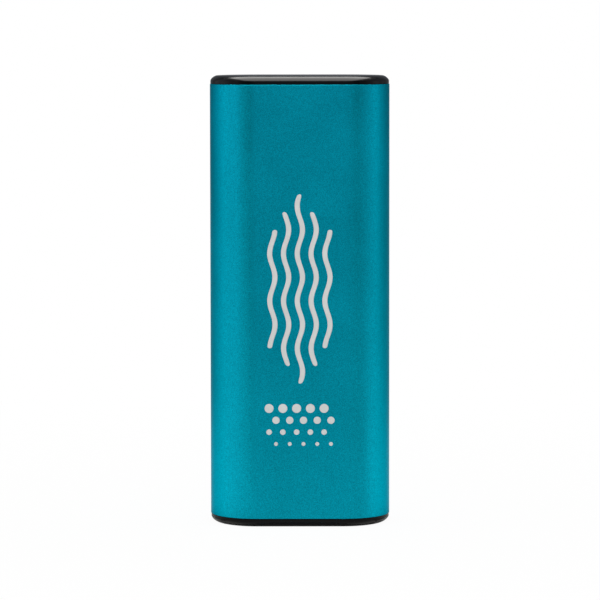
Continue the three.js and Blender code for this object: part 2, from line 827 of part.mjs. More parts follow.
// The outlet's four legs, grown by a clearance on all sides.
function outletLegs(grow, reach) {
  const legOffset = outletWidth / 2 - outletShellWall / 2;
  const legHeights = [outletRecess + outletLength / 2, outletRecess + outletLength - outletLegWidth];
  const depth = [boardFront - restGap - outletCornerRadius * 2, boardFront + reach];
  return [outletX - legOffset, outletX + legOffset].flatMap((x) =>
    legHeights.map((z) =>
      box(about(x, outletShellWall / 2 + grow), depth, about(z, outletLegWidth / 2 + grow)),
    ),
  );
}

// The outlet shell's outline, grown outwards by an amount.
function outletPoints(grow) {
  const width = outletWidth + grow * 2;
  const height = outletHeight + (grow - restGap) * 2;
  return roundedRectanglePoints(width, height, outletCornerRadius + grow, [outletX, 0]);
}

// Outlet shell: a folded steel box, open at the mouth, with two spring fingers in its front wall.
function makeOutletShell() {
  const length = [outletRecess, outletRecess + outletLength];
  const outside = column(outletPoints(0), length);
  const inside = column(outletPoints(-outletShellWall), [length[0] - cutOverrun, length[1] + cutOverrun]);
  const fingerTip = length[0] + outletFingerWidth;
  const fingerLength = [fingerTip - outletFingerSlot, fingerTip + outletFingerLength];
  const wall = [-outletHeight, -outletHeight / 2 + outletShellWall + restGap * 2];
  const slots = [-1, 1].flatMap((side) => {
    const middle = outletX + (side * outletWidth) / 4;
    const edges = [-1, 1].map((edge) => {
      const slotMiddle = middle + (edge * (outletFingerWidth + outletFingerSlot)) / 2;
      return box(about(slotMiddle, outletFingerSlot / 2), wall, fingerLength);
    });
    const tipSlot = box(about(middle, outletFingerWidth / 2), wall, [fingerLength[0], fingerTip]);
    return [tipSlot, ...edges];
  });
  const legs = outletLegs(0, boardThickness + outletShellWall);
  return cut(join(outside, ...legs), inside, ...slots);
}

// Where the outlet's tongue has its front face, which its contacts lie on.
const outletTongueBack = outletHeight / 2 - outletShellWall - outletTongueFromWall;
const outletTongueFront = outletTongueBack - outletTongueThickness;
const outletBlockBottom = outletRecess + outletLength - outletBlockLength;

// Outlet insulator: the block that fills the back of the shell and the tongue that stands out of it.
function makeOutletInsulator() {
  const blockLength = [outletBlockBottom, outletRecess + outletLength];
  const block = column(outletPoints(-outletShellWall - restGap), blockLength);
  const middle = [outletX, outletTongueBack - outletTongueThickness / 2];
  const tongueSection = (thickness) =>
    roundedRectanglePoints(outletWidth - outletTongueFromSide * 2, thickness, restGap, middle);
  const tip = outletRecess + outletTongueRecess;
  const tongue = loft([
    [tongueSection(outletTongueThickness / 2), tip],
    [tongueSection(outletTongueThickness), tip + outletTongueThickness / 2],
    [tongueSection(outletTongueThickness), outletBlockBottom + restGap],
  ]);
  return join(block, tongue);
}

// The outlet's spring contacts lie on the front of its tongue, at these places across the width.
const outletContactPlaces = [
  -outletOuterContactOffset,
  -outletInnerContactOffset,
  outletInnerContactOffset,
  outletOuterContactOffset,
];

// One spring contact of the outlet, its tip at zero: a strip up +Z with a raised touch towards -Y.
function makeOutletContact() {
  const profile = new THREE.Shape([
    new THREE.Vector2(0, 0),
    new THREE.Vector2(outletContactLength, 0),
    new THREE.Vector2(outletContactLength, outletContactThickness),
    new THREE.Vector2(outletContactWidth * 2, outletContactThickness),
    new THREE.Vector2(outletContactWidth, outletContactThickness * 3),
    new THREE.Vector2(0, outletContactThickness),
  ]);
  const geometry = new THREE.ExtrudeGeometry(profile, { depth: outletContactWidth, bevelEnabled: false });
  geometry.translate(0, 0, -outletContactWidth / 2);
  const alongZ = new THREE.Vector3(0, 0, 1);
  const towardsFront = new THREE.Vector3(0, -1, 0);
  const acrossX = new THREE.Vector3(1, 0, 0);
  geometry.applyMatrix4(new THREE.Matrix4().makeBasis(alongZ, towardsFront, acrossX));
  return solidOf(geometry);
}

// Charging socket's shell: a tapered steel tube with a flared lip at its mouth.
function makeInletShell() {
  const mouth = outletRecess;
  const end = mouth + inletLength;
  const lip = mouth + inletLipLength;
  const outside = loft([
    [inletPoints(inletLipFlare), mouth],
    [inletPoints(inletLipFlare), mouth + inletShellWall],
    [inletPoints(0), lip],
    [inletPoints(0), end],
  ]);
  const inside = loft([
    [inletPoints(inletLipFlare - inletShellWall), mouth - cutOverrun],
    [inletPoints(inletLipFlare - inletShellWall), mouth],
    [inletPoints(-inletShellWall), lip],
    [inletPoints(-inletShellWall), end + cutOverrun],
  ]);
  return cut(outside, inside);
}

// Charging socket's insulator: a thin tongue on the block that closes the back of the shell.
function makeInletInsulator() {
  const end = outletRecess + inletLength;
  const block = column(inletPoints(-inletShellWall - restGap), [end - inletBlockLength, end]);
  const backY = boardFront - inletShellWall * 2 - looseGap;
  const tongue = box(
    about(inletX, inletTongueWidth / 2),
    [backY - inletTongueThickness, backY],
    [outletRecess + inletTongueRecess, end - inletBlockLength + restGap],
  );
  return join(block, tongue);
}

// Up the height: the button's face, its flange, its stem, the plunger and the switch behind them.
const buttonFlangeBottom = capPlateThickness + restGap * 2;
const buttonFlangeTop = buttonFlangeBottom + buttonFlangeThickness;
const buttonTravel = buttonPlay + plungerTravel;
const plungerTip = buttonFlangeTop + buttonTravel + looseGap + buttonPlay;
const switchCoverBottom = plungerTip + plungerReach;
const switchBottom = switchCoverBottom + switchCoverThickness + restGap;
const plungerTop = switchBottom + plungerRootLength;
const switchHalfHeight = boardFront - restGap;

// Push switch's body: a block with the round well that the plunger moves in.
function makeSwitchBody() {
  const height = [switchBottom, switchBottom + switchDepth];
  const body = box(about(switchX, switchWidth / 2), about(0, switchHalfHeight), height);
  const well = [switchBottom - cutOverrun, plungerTop + plungerTravel + restGap];
  return cut(body, upright(plungerRadius + plungerClearance, well, switchX, 0, smallRoundSides));
}

// Push switch's cover: a steel plate with a hole for the plunger and two arms down the sides.
function makeSwitchCover() {
  const plateHeight = [switchCoverBottom, switchCoverBottom + switchCoverThickness];
  const plate = box(about(switchX, switchHalfSpan), about(0, switchHalfHeight), plateHeight);
  const arms = [-1, 1].map((side) => {
    const middle = switchX + side * (switchHalfSpan - switchCoverThickness / 2);
    const height = [switchCoverBottom, switchBottom + switchDepth / 2];
    return box(about(middle, switchCoverThickness / 2), about(0, switchHalfHeight / 2), height);
  });
  const hole = about(switchCoverBottom, cutOverrun);
  const opening = upright(plungerRadius + plungerClearance, hole, switchX, 0, smallRoundSides);
  return cut(join(plate, ...arms), opening);
}

// The switch's round plunger.
function makePlunger() {
  return turned(
    [
      [0, plungerTip],
      [plungerRadius - buttonEdgeRound, plungerTip],
      [plungerRadius, plungerTip + buttonEdgeRound],
      [plungerRadius, plungerTop],
      [0, plungerTop],
    ],
    smallRoundSides,
  );
}

// Power button: a dished disc level with the base, a flange that keeps it in and a stem to the plunger.
// Its back is flattened where it moves up past the edge of the board.
function makeButton() {
  const dishRadius = buttonRadius - buttonEdgeRound * 2;
  const stemTop = plungerTip - buttonPlay - restGap;
  const blank = turned([
    [0, buttonRecess + buttonDish],
    [dishRadius * buttonDishEdgeShare, buttonRecess + buttonDish * (1 - buttonDishEdgeShare ** 2)],
    [dishRadius, buttonRecess],
    [buttonRadius - buttonEdgeRound, buttonRecess],
    [buttonRadius, buttonRecess + buttonEdgeRound],
    [buttonRadius, buttonFlangeBottom],
    [buttonFlangeRadius, buttonFlangeBottom],
    [buttonFlangeRadius, buttonFlangeTop],
    [buttonStemRadius, buttonFlangeTop],
    [buttonStemRadius, stemTop],
    [0, stemTop],
  ]);
  const flatOff = box(
    about(0, buttonFlangeRadius),
    [boardFront - looseGap, buttonFlangeRadius + cutOverrun],
    [boardBottom - buttonTravel - looseGap, buttonFlangeTop + cutOverrun],
  );
  return cut(blank, flatOff);
}

// Light pipe: one clear bar with a post down to each window in the base.
function makeLightPipe() {
  const barBottom = capPlateThickness + restGap;
  const halfLength = (lightPitch * lightCount) / 2;
  const barDepth = about(lightRowY, lightBarWidth / 2);
  const bar = box(about(0, halfLength), barDepth, [barBottom, barBottom + lightBarThickness]);
  const posts = lightPlaces().map((x) =>
    upright(lightWindowRadius, [lightWindowRecess, barBottom + restGap], x, lightRowY, smallRoundSides),
  );
  return join(bar, ...posts);
}

// One side-facing light on the back of the board, standing over its post.
function makeLight(x) {
  const bottom = capPlateThickness + restGap * 2 + lightBarThickness;
  const depth = [boardBack + restGap, boardBack + restGap + lightBodyDepth];
  return box(about(x, lightBodyWidth / 2), depth, [bottom, bottom + lightBodyHeight]);
}

// A chip with legs along both long edges, centred on the board's face and standing off it along +Y.
function makeChip(legPairs) {
  const bodyLength = legPairs * chipPitch;
  const body = box(about(0, bodyLength / 2), [restGap, chipHeight], about(0, chipBodyWidth / 2));
  const reach = about(0, chipBodyWidth / 2 + chipLegReach);
  const legs = Array.from({ length: legPairs }, (_, index) => {
    const x = (index - (legPairs - 1) / 2) * chipPitch;
    return box(about(x, chipLegWidth / 2), [restGap, restGap + chipLegThickness], reach);
  });
  return join(body, ...legs);
}

// Power transistor with its heat tab, standing off the board along +Y.
function makeTransistor() {
  const body = box(about(0, transistorWidth / 2), [restGap, transistorHeight], about(0, transistorBodyDepth));
  const legDepth = [restGap, restGap + chipLegThickness];
  const foot = box(about(0, transistorWidth / 4), legDepth, about(0, transistorBodyDepth + chipLegReach / 2));
  return join(body, foot);
}

// Power inductor: a low eight-sided drum, standing off the board along -Y.
function makeInductor() {
  const half = inductorWidth / 2;
  const shoulder = half - inductorCornerCut;
  const corners = [
    [half, -shoulder],
    [half, shoulder],
    [shoulder, half],
    [-shoulder, half],
    [-half, shoulder],
    [-half, -shoulder],
    [-shoulder, -half],
    [shoulder, -half],
  ];
  const outline = corners.map(([x, y]) => new THREE.Vector2(x, y));
  const drum = column(outline, [restGap, inductorHeight]);
  const middle = inductorHeight / 2;
  const slab = box(about(0, inductorWidth), about(0, inductorWidth), about(middle, inductorHeight / 6));
  const core = upright(shoulder, about(middle, inductorHeight), 0, 0, smallRoundSides);
  const waist = cut(slab, core);
  return cut(drum, waist);
}

// Ceramic capacitor with its metal ends a little proud, standing off the board along +Y.
function makeCapacitor() {
  const proud = restGap;
  const middle = box(
    about(0, capacitorWidth / 4),
    [restGap + proud, capacitorHeight - proud],
    about(0, capacitorDepth / 2 - proud),
  );
  const ends = [-1, 1].map((side) =>
    box(
      about((side * capacitorWidth * 3) / 8, capacitorWidth / 8),
      [restGap, capacitorHeight],
      about(0, capacitorDepth / 2),
    ),
  );
  return join(middle, ...ends);
}

// Finishes
function finish(color, roughness, metalness) {
  return new THREE.MeshStandardMaterial({ color, roughness, metalness });
}

const tealAnodised = finish(0x0a869f, 0.42, 0.9);
const blackMoulded = finish(0x1b1b1c, 0.55, 0);
const greyMoulded = finish(0x3a3c3f, 0.6, 0);
const zincSteel = finish(0xb4b6b8, 0.35, 1);
const nickel = finish(0xc2bdb2, 0.3, 1);
const cellWrap = finish(0x2f6d4a, 0.45, 0);
const ringPaper = finish(0xe6e3da, 0.9, 0);
const bareAluminium = finish(0xc4c7ca, 0.4, 1);
const amberFilm = finish(0xb5651d, 0.35, 0);
const whiteFoam = finish(0xd9d9d4, 0.95, 0);
const greenBoard = finish(0x1e5b3a, 0.5, 0);
const blackEpoxy = finish(0x17181a, 0.6, 0);
const ferrite = finish(0x3b3a38, 0.7, 0);
const whiteInsulator = finish(0xe8e8e4, 0.5, 0);
const clearPipe = finish(0xeef2f4, 0.1, 0);
const tanCeramic = finish(0x9c7a55, 0.5, 0);
const goldContact = finish(0xd8b25a, 0.25, 1);
const redSleeving = finish(0xb3201f, 0.5, 0);
const whiteSleeving = finish(0xd8d8d8, 0.6, 0);

const handWarmer = new THREE.Group();

// Adds a named mesh to a group, moved and turned as given.
function place(group, name, solid, material, position = [0, 0, 0], rotation = [0, 0, 0]) {
  const mesh = new THREE.Mesh(geometryOf(solid), material);
  mesh.name = name;
  mesh.position.set(...position);
  mesh.rotation.set(...rotation);
  group.add(mesh);
  return mesh;
}

// Housing: the sleeve and a cap at each end; the top one is the base form turned over, without openings.
const housing = new THREE.Group();
place(housing, "sleeve", makeSleeve(), tealAnodised);
place(housing, "base_cap", makeBaseCap(), blackMoulded);
const topEnd = new THREE.Group();
topEnd.position.z = overallHeight;
topEnd.rotation.x = Math.PI;
place(topEnd, "top_cap", makeCapBlank(), blackMoulded);
housing.add(topEnd);
handWarmer.add(housing);

// Carrier: two halves and the four screws that clamp them on the cell, with foam under the top cap.
const carrier = new THREE.Group();
place(carrier, "carrier_front", makeCarrierHalf(-1), greyMoulded);
place(carrier, "carrier_rear", makeCarrierHalf(1), greyMoulded);
const carrierScrew = makeScrew(screwShankLength);
const intoCarrier = [-Math.PI / 2, 0, 0];
carrierScrewPlaces.forEach(([x, z], index) => {
  const name = `carrier_screw_${index + 1}`;
  place(carrier, name, carrierScrew, zincSteel, [x, carrierScrewSeatY - restGap, z], intoCarrier);
});
const foamHeight = [carrierTop + restGap, carrierTop + restGap + topFoamThickness];
place(carrier, "top_foam", ovalColumn(carrierInnerInset, foamHeight), whiteFoam);
handWarmer.add(carrier);

// Cell with its tabs and its red lead.
const cellGroup = new THREE.Group();
place(cellGroup, "battery_cell", makeCell(), cellWrap, [0, 0, cellBottom]);
place(cellGroup, "cell_insulator_ring", makeCellRing(), ringPaper, [0, 0, cellCanTop + restGap]);
place(cellGroup, "cell_positive_button", makeTerminal(), nickel, [0, 0, cellCanTop + restGap]);
place(cellGroup, "positive_tab", makePositiveTab(), nickel);
place(cellGroup, "negative_tab", makeNegativeTab(), nickel);
place(cellGroup, "positive_lead", makeCellLead(), redSleeving);
handWarmer.add(cellGroup);

// A heater on each broad face: spreader plate, film and insulating pad, with two leads to the board.
const heaters = new THREE.Group();
for (const [face, label] of [[-1, "front"], [1, "rear"]]) {
  const height = [heaterBottom, heaterTop];
  const spreader = heaterLayer(face, spreaderInset, spreaderThickness, spreaderHalfWidth, height);
  place(heaters, `heat_spreader_${label}`, spreader, bareAluminium);
  place(heaters, `heater_film_${label}`, makeHeaterFilm(face), amberFilm);
  const pad = heaterLayer(face, padInset, padThickness, padHalfWidth, height);
  place(heaters, `insulation_pad_${label}`, pad, whiteFoam);
  place(heaters, `heater_lead_${label}_left`, makeHeaterLead(face, -1), whiteSleeving);
  place(heaters, `heater_lead_${label}_right`, makeHeaterLead(face, 1), whiteSleeving);
}
place(heaters, "thermistor", makeThermistor(), blackEpoxy);
handWarmer.add(heaters);

// Circuit board with everything soldered to it.
const electronics = new THREE.Group();
place(electronics, "main_board", makeBoard(), greenBoard);
place(electronics, "outlet_shell", makeOutletShell(), zincSteel);
place(electronics, "outlet_insulator", makeOutletInsulator(), whiteInsulator);
const outletContact = makeOutletContact();
outletContactPlaces.forEach((x, index) => {
  const tip = outletBlockBottom - restGap - outletContactLength;
  const position = [outletX + x, outletTongueFront - restGap, tip];
  place(electronics, `outlet_contact_${index + 1}`, outletContact, goldContact, position);
});
place(electronics, "inlet_shell", makeInletShell(), zincSteel);
place(electronics, "inlet_insulator", makeInletInsulator(), blackEpoxy);
place(electronics, "switch_body", makeSwitchBody(), blackEpoxy);
place(electronics, "switch_cover", makeSwitchCover(), zincSteel);
lightPlaces().forEach((x, index) => {
  place(electronics, `charge_light_${index + 1}`, makeLight(x), whiteInsulator);
});
const boardScrew = makeScrew(boardScrewShankLength);
[-1, 1].forEach((side, index) => {
  const position = [side * boardScrewX, boardFront - restGap, boardScrewZ];
  place(electronics, `board_screw_${index + 1}`, boardScrew, zincSteel, position, intoCarrier);
});
const upOffBoard = [Math.PI / 2, 0, 0];
const towardsFront = [0, 0, Math.PI];
const inductorPlace = [0, boardFront, boardTop - frontPartsFromTop];
place(electronics, "power_inductor", makeInductor(), ferrite, inductorPlace, upOffBoard);
const capacitorPlace = [inductorWidth / 2 + capacitorWidth, boardFront, inductorPlace[2] - inductorWidth / 2];
place(electronics, "output_capacitor", makeCapacitor(), tanCeramic, capacitorPlace, towardsFront);
const backPartsX = boardScrewX - screwHeadRadius - chipPitch;
const backPartsZ = boardBottom + boardHeight / 3;
place(electronics, "controller_chip", makeChip(8), blackEpoxy, [0, boardBack, boardTop - boardHeight / 2]);
place(electronics, "charger_chip", makeChip(4), blackEpoxy, [-backPartsX, boardBack, backPartsZ]);
place(electronics, "heater_transistor", makeTransistor(), blackEpoxy, [backPartsX, boardBack, backPartsZ]);
handWarmer.add(electronics);

// The pieces that move when the base is pressed, and the light pipe beside them.
const controls = new THREE.Group();
place(controls, "power_button", makeButton(), blackMoulded, [switchX, 0, 0]);
place(controls, "switch_plunger", makePlunger(), blackEpoxy, [switchX, 0, 0]);
place(controls, "light_pipe", makeLightPipe(), clearPipe);
handWarmer.add(controls);

export default handWarmer;
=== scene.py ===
"""Looks of a rechargeable hand warmer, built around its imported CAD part.

A teal anodised sleeve stands on a black moulded base cap, under a black top cap. The pieces that show are
rebuilt here with fine curves, small bevels and real finishes; the pieces inside keep their CAD shapes and get
a finish each. Sizes are in millimetres, and every mesh is made in metres in the CAD part's own frame.
"""

import json
import logging
import math
from dataclasses import dataclass, field
from enum import Enum
from functools import partial
from typing import Callable, ClassVar, Sequence

import bmesh
import bpy
from bmesh.types import BMesh
from bpy.types import ID, Material, Node, NodeSocket, NodeTree, Object, World
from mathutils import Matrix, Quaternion, Vector


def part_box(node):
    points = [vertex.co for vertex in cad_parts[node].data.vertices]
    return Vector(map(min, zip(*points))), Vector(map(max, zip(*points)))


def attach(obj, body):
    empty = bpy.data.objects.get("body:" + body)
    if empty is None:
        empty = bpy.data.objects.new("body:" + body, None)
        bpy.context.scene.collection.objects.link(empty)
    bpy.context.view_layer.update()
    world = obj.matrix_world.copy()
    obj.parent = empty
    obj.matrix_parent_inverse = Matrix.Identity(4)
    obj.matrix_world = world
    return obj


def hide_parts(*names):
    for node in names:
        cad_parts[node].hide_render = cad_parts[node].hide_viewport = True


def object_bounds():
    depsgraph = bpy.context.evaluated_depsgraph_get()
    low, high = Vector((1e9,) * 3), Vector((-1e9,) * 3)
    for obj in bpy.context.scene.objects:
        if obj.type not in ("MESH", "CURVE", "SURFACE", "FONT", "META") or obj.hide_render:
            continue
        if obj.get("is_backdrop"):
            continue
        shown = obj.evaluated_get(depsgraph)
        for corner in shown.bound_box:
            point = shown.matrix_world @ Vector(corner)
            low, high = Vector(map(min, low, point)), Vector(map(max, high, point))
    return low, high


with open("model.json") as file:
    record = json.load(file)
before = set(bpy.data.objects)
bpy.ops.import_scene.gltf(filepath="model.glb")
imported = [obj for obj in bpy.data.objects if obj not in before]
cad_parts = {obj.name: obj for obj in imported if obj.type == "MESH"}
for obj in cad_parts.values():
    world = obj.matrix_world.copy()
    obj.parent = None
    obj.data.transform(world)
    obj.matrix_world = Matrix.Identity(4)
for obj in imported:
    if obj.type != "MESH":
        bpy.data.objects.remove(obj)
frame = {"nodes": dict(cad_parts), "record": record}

log = logging.getLogger("hand_warmer")

MM = 0.001
PHOTO_PIXELS = 600
WHITE = "#ffffff"
SHARP_DEGREES = 28

# The sRGB curve: slope and end of its straight part, offset and power of the rest
SRGB_SLOPE = 12.92
SRGB_STRAIGHT_END = 0.04045
SRGB_OFFSET = 0.055
SRGB_POWER = 2.4

# Fits of the CAD part, in millimetres: between faces that rest on each other, and between loose pieces
REST_GAP = 0.05
LOOSE_GAP = 0.2

# How far a cap's rim comes down over the tube's worn edge, in millimetres
RIM_LAP = 0.1

# Between these two values lies most of a Noise Texture
NOISE_LOW = 0.3
NOISE_HIGH = 0.7

Point = tuple[float, float]
Ring = list[Vector]
Fill = Callable[[BMesh], None]


class End(Enum):
    """Which end of the sleeve a cap closes."""

    BASE = "base"
    TOP = "top"


# Colours and nodes


def linear(hex_colour: str) -> tuple[float, float, float, float]:
    """Turn an sRGB hex colour into the linear colour that a shader takes.

    Args:
        hex_colour: Six hex digits, with or without a leading #.

    Returns:
        Red, green, blue and an alpha of 1.
    """
    digits = hex_colour.lstrip("#")
    values = [int(digits[at:at + 2], 16) / 255 for at in (0, 2, 4)]
    red, green, blue = (
        value / SRGB_SLOPE if value <= SRGB_STRAIGHT_END
        else ((value + SRGB_OFFSET) / (1 + SRGB_OFFSET)) ** SRGB_POWER
        for value in values
    )
    return (red, green, blue, 1.0)


def add_node(tree: NodeTree, kind: str, inputs: dict | Sequence = (), **settings: object) -> Node:
    """Add a node with its settings and links.

    Args:
        tree: The node tree that gets it.
        kind: The node's Blender type name.
        inputs: What its sockets get, by their names or numbers or simply in their order: a value, the
            output socket that feeds it, or a node whose first output in use does.
        settings: Node properties, such as operation or data_type.

    Returns:
        The new node.
    """
    node = tree.nodes.new(kind)
    for name, value in settings.items():
        setattr(node, name, value)
    for key, value in (inputs.items() if isinstance(inputs, dict) else enumerate(inputs)):
        if isinstance(value, Node):
            value = next(output for output in value.outputs if output.enabled)
        if isinstance(value, NodeSocket):
            tree.links.new(value, node.inputs[key])
        else:
            node.inputs[key].default_value = value
    return node


def empty_tree(owner: Material | World) -> NodeTree:
    """Let a material or a world use nodes, and clear its tree.

    Args:
        owner: The material or world.

    Returns:
        Its tree, without nodes.
    """
    owner.use_nodes = True
    owner.node_tree.nodes.clear()
    return owner.node_tree


# Finishes


@dataclass(frozen=True)
class Finish:
    """A surface with a fine grain: what every finish of the hand warmer shares.

    The grain is a noise of a real size that lifts the surface by a real height. The mottle is a broader,
    weaker noise that shifts colour and roughness a little, as handling and making leave them. Sizes are in
    millimetres.
    """

    name: str
    colour: str
    roughness: float
    metallic: float = 0.0
    ior: float = 1.5
    specular: float = 0.5
    grain: float = 0.3
    grain_height: float = 0.01
    mottle: float = 6.0
    mottle_detail: float = 3.0
    colour_shift: float = 0.06
    roughness_shift: float = 0.05
    stretch: tuple[float, float, float] = (1.0, 1.0, 1.0)

    def build(self) -> Material:
        """Make the material with its node tree.

        Returns:
            The finished material.
        """
        material = bpy.data.materials.new(self.name)
        tree = empty_tree(material)
        node = partial(add_node, tree)
        coordinates = node("ShaderNodeTexCoord")
        place = node("ShaderNodeMapping", {"Vector": coordinates.outputs["Object"], "Scale": self.stretch})
        broad = node("ShaderNodeTexNoise", {
            "Vector": place, "Scale": 1 / (self.mottle * MM), "Detail": self.mottle_detail,
        })
        roughness = node("ShaderNodeMapRange", {
            "Value": broad, "From Min": NOISE_LOW, "From Max": NOISE_HIGH,
            "To Min": max(self.roughness - self.roughness_shift, 0.0),
            "To Max": min(self.roughness + self.roughness_shift, 1.0),
        })
        bump = node("ShaderNodeBump", {
            "Height": self.surface_height(tree, place), "Distance": self.grain_height * MM,
        })
        shader = node("ShaderNodeBsdfPrincipled", {
            "Base Color": self.surface_colour(tree, place, broad), "Roughness": roughness,
            "Metallic": self.metallic, "IOR": self.ior, "Specular IOR Level": self.specular, "Normal": bump,
        })
        self.adjust(shader)
        node("ShaderNodeOutputMaterial", {"Surface": shader})
        return material

    def surface_height(self, tree: NodeTree, place: Node) -> Node:
        """The height pattern, from 0 to 1: here the grain alone."""
        return add_node(tree, "ShaderNodeTexNoise", {"Vector": place, "Scale": 1 / (self.grain * MM)})

    def surface_colour(self, tree: NodeTree, place: Node, broad: Node) -> Node:
        """The colour pattern: here the finish's colour, a little darker and lighter by the mottle."""
        return self.shade(tree, broad, linear(self.colour)[:3], self.colour_shift)

    def shade(self, tree: NodeTree, pattern: Node, colour: Node | Sequence[float], shift: float) -> Node:
        """Darken and lighten a colour by a pattern.

        Args:
            tree: The material's node tree.
            pattern: A noise, whose value is mostly between NOISE_LOW and NOISE_HIGH.
            colour: The colour at the pattern's middle, or the node that gives it.
            shift: Share of brightness lost and gained.

        Returns:
            The node that gives the shaded colour.
        """
        brightness = add_node(tree, "ShaderNodeMapRange", {
            "Value": pattern, "From Min": NOISE_LOW, "From Max": NOISE_HIGH,
            "To Min": 1 - shift, "To Max": 1 + shift,
        })
        return add_node(tree, "ShaderNodeVectorMath", (colour, brightness), operation="MULTIPLY")

    def adjust(self, shader: Node) -> None:
        """Set what only this finish needs on its shader: here nothing."""


@dataclass(frozen=True)
class DyedAnodising(Finish):
    """Aluminium, blasted with fine beads, anodised and dyed.

    The beads leave a tight, even sparkle and a soft, wide highlight. The dye lies in a clear oxide, whose
    own shine covers it at a flat angle, so the turned-away edges look paler.
    """

    edge_colour: str = "#a4b8be"
    sparkle: float = 0.17
    sparkle_detail: float = 1.0
    sparkle_shift: float = 0.3

    def surface_colour(self, tree: NodeTree, place: Node, broad: Node) -> Node:
        """The dye, with the fine light and dark specks that the bead blast gives it."""
        specks = add_node(tree, "ShaderNodeTexNoise", {
            "Vector": place, "Scale": 1 / (self.sparkle * MM), "Detail": self.sparkle_detail,
        })
        return self.shade(tree, specks, super().surface_colour(tree, place, broad), self.sparkle_shift)

    def adjust(self, shader: Node) -> None:
        """Set the paler colour of the edges."""
        shader.inputs["Specular Tint"].default_value = linear(self.edge_colour)


@dataclass(frozen=True)
class ClearPlastic(Finish):
    """Clear moulded acrylic or polycarbonate: light goes through it, and it shines where it is smooth."""

    def adjust(self, shader: Node) -> None:
        """Let the light through."""
        shader.inputs["Transmission Weight"].default_value = 1.0


@dataclass(frozen=True)
class CellularFoam(Finish):
    """Closed-cell foam: small round cells with thin walls, cut open at the surface."""

    def surface_height(self, tree: NodeTree, place: Node) -> Node:
        """Rounded hollows as wide as the foam's cells."""
        return add_node(tree, "ShaderNodeTexVoronoi", {"Vector": place, "Scale": 1 / (self.grain * MM)})


@dataclass(frozen=True)
class SolderMask(Finish):
    """Glass-epoxy circuit board under solder mask, whose copper tracks show as lighter, raised lines."""

    track_colour: str = "#2f7d4f"
    track_pitch: float = 1.1
    track_edges: tuple[float, float] = (0.42, 0.46)

    def surface_height(self, tree: NodeTree, place: Node) -> Node:
        """Lines along the edges of squarish cells, as routed tracks run under the mask."""
        return add_node(tree, "ShaderNodeTexVoronoi", {
            "Vector": place, "Scale": 1 / (self.track_pitch * MM),
        }, distance="CHEBYCHEV")

    def surface_colour(self, tree: NodeTree, place: Node, broad: Node) -> Node:
        """Mask over bare laminate, lighter over copper."""
        over = add_node(tree, "ShaderNodeMapRange", {
            "Value": self.surface_height(tree, place),
            "From Min": self.track_edges[0], "From Max": self.track_edges[1],
        })
        return add_node(tree, "ShaderNodeMix", {
            "Factor": over, 4: super().surface_colour(tree, place, broad), 5: linear(self.track_colour)[:3],
        }, data_type="VECTOR")


# Meshes


@dataclass(frozen=True)
class Oval:
    """The hand warmer's outline: two flat faces joined by rounded ends, in millimetres."""

    half_width: float
    half_depth: float
    end_reach: float = 10.0
    quarter_steps: int = 36

    def points(self, inset: float) -> list[Point]:
        """The outline brought in by an inset, counter-clockwise from the front right.

        Args:
            inset: How far inside the outer surface.

        Returns:
            Points across the width and depth, in millimetres.
        """
        flat = self.half_width - self.end_reach
        reach, depth = self.end_reach - inset, self.half_depth - inset
        outline = []
        for side in (1, -1):
            for step in range(self.quarter_steps * 2 + 1):
                angle = math.pi / 2 * (step / self.quarter_steps - 1)
                outline.append((side * (flat + reach * math.cos(angle)), side * depth * math.sin(angle)))
        return outline

    def ring(self, inset: float, height: float) -> Ring:
        """The outline at a height, in metres."""
        return level(self.points(inset), height)


def circle(radius: float, middle: Point, sides: int = 48) -> list[Point]:
    """Points of a circle, counter-clockwise."""
    turns = [math.tau * side / sides for side in range(sides)]
    return [(middle[0] + radius * math.cos(t), middle[1] + radius * math.sin(t)) for t in turns]


def rounded_rectangle(width: float, height: float, radius: float, middle: Point,
                      steps: int = 8) -> list[Point]:
    """Points of a rectangle with rounded corners, counter-clockwise.

    Args:
        width: Full width.
        height: Full height.
        radius: Corner radius.
        middle: The rectangle's middle.
        steps: Steps round each corner.

    Returns:
        The outline's points.
    """
    points = []
    for quadrant, (right, back) in enumerate(((1, 1), (-1, 1), (-1, -1), (1, -1))):
        corner = (middle[0] + right * (width / 2 - radius), middle[1] + back * (height / 2 - radius))
        for step in range(steps + 1):
            angle = math.pi / 2 * (quadrant + step / steps)
            points.append((corner[0] + radius * math.cos(angle), corner[1] + radius * math.sin(angle)))
    return points


def level(points: Sequence[Point], height: float) -> Ring:
    """An outline in millimetres laid at a height, in metres."""
    return [Vector((x, y, height)) * MM for x, y in points]


def add_rings(mesh: BMesh, rings: Sequence[Ring], closed: bool = False) -> None:
    """Skin rings of equal counts, and close the two ends or join the last ring to the first.

    Args:
        mesh: The mesh that gets the faces.
        rings: Rings of points, each with the same count.
        closed: Whether the skin runs from the last ring back to the first.
    """
    made = [[mesh.verts.new(point) for point in ring] for ring in rings]
    pairs = list(zip(made, made[1:]))
    if closed:
        pairs.append((made[-1], made[0]))
    for low, high in pairs:
        for at in range(len(low)):
            after = (at + 1) % len(low)
            mesh.faces.new((low[at], low[after], high[after], high[at]))
    if not closed:
        mesh.faces.new(list(reversed(made[0])))
        mesh.faces.new(made[-1])


def add_block(mesh: BMesh, low: Sequence[float], high: Sequence[float]) -> None:
    """Add a closed block between two corners given in millimetres."""
    outline = [(low[0], low[1]), (high[0], low[1]), (high[0], high[1]), (low[0], high[1])]
    add_rings(mesh, [level(outline, low[2]), level(outline, high[2])])


def add_object(name: str, data: ID) -> Object:
    """Put new data into the scene, as an object at the origin."""
    thing = bpy.data.objects.new(name, data)
    bpy.context.scene.collection.objects.link(thing)
    return thing


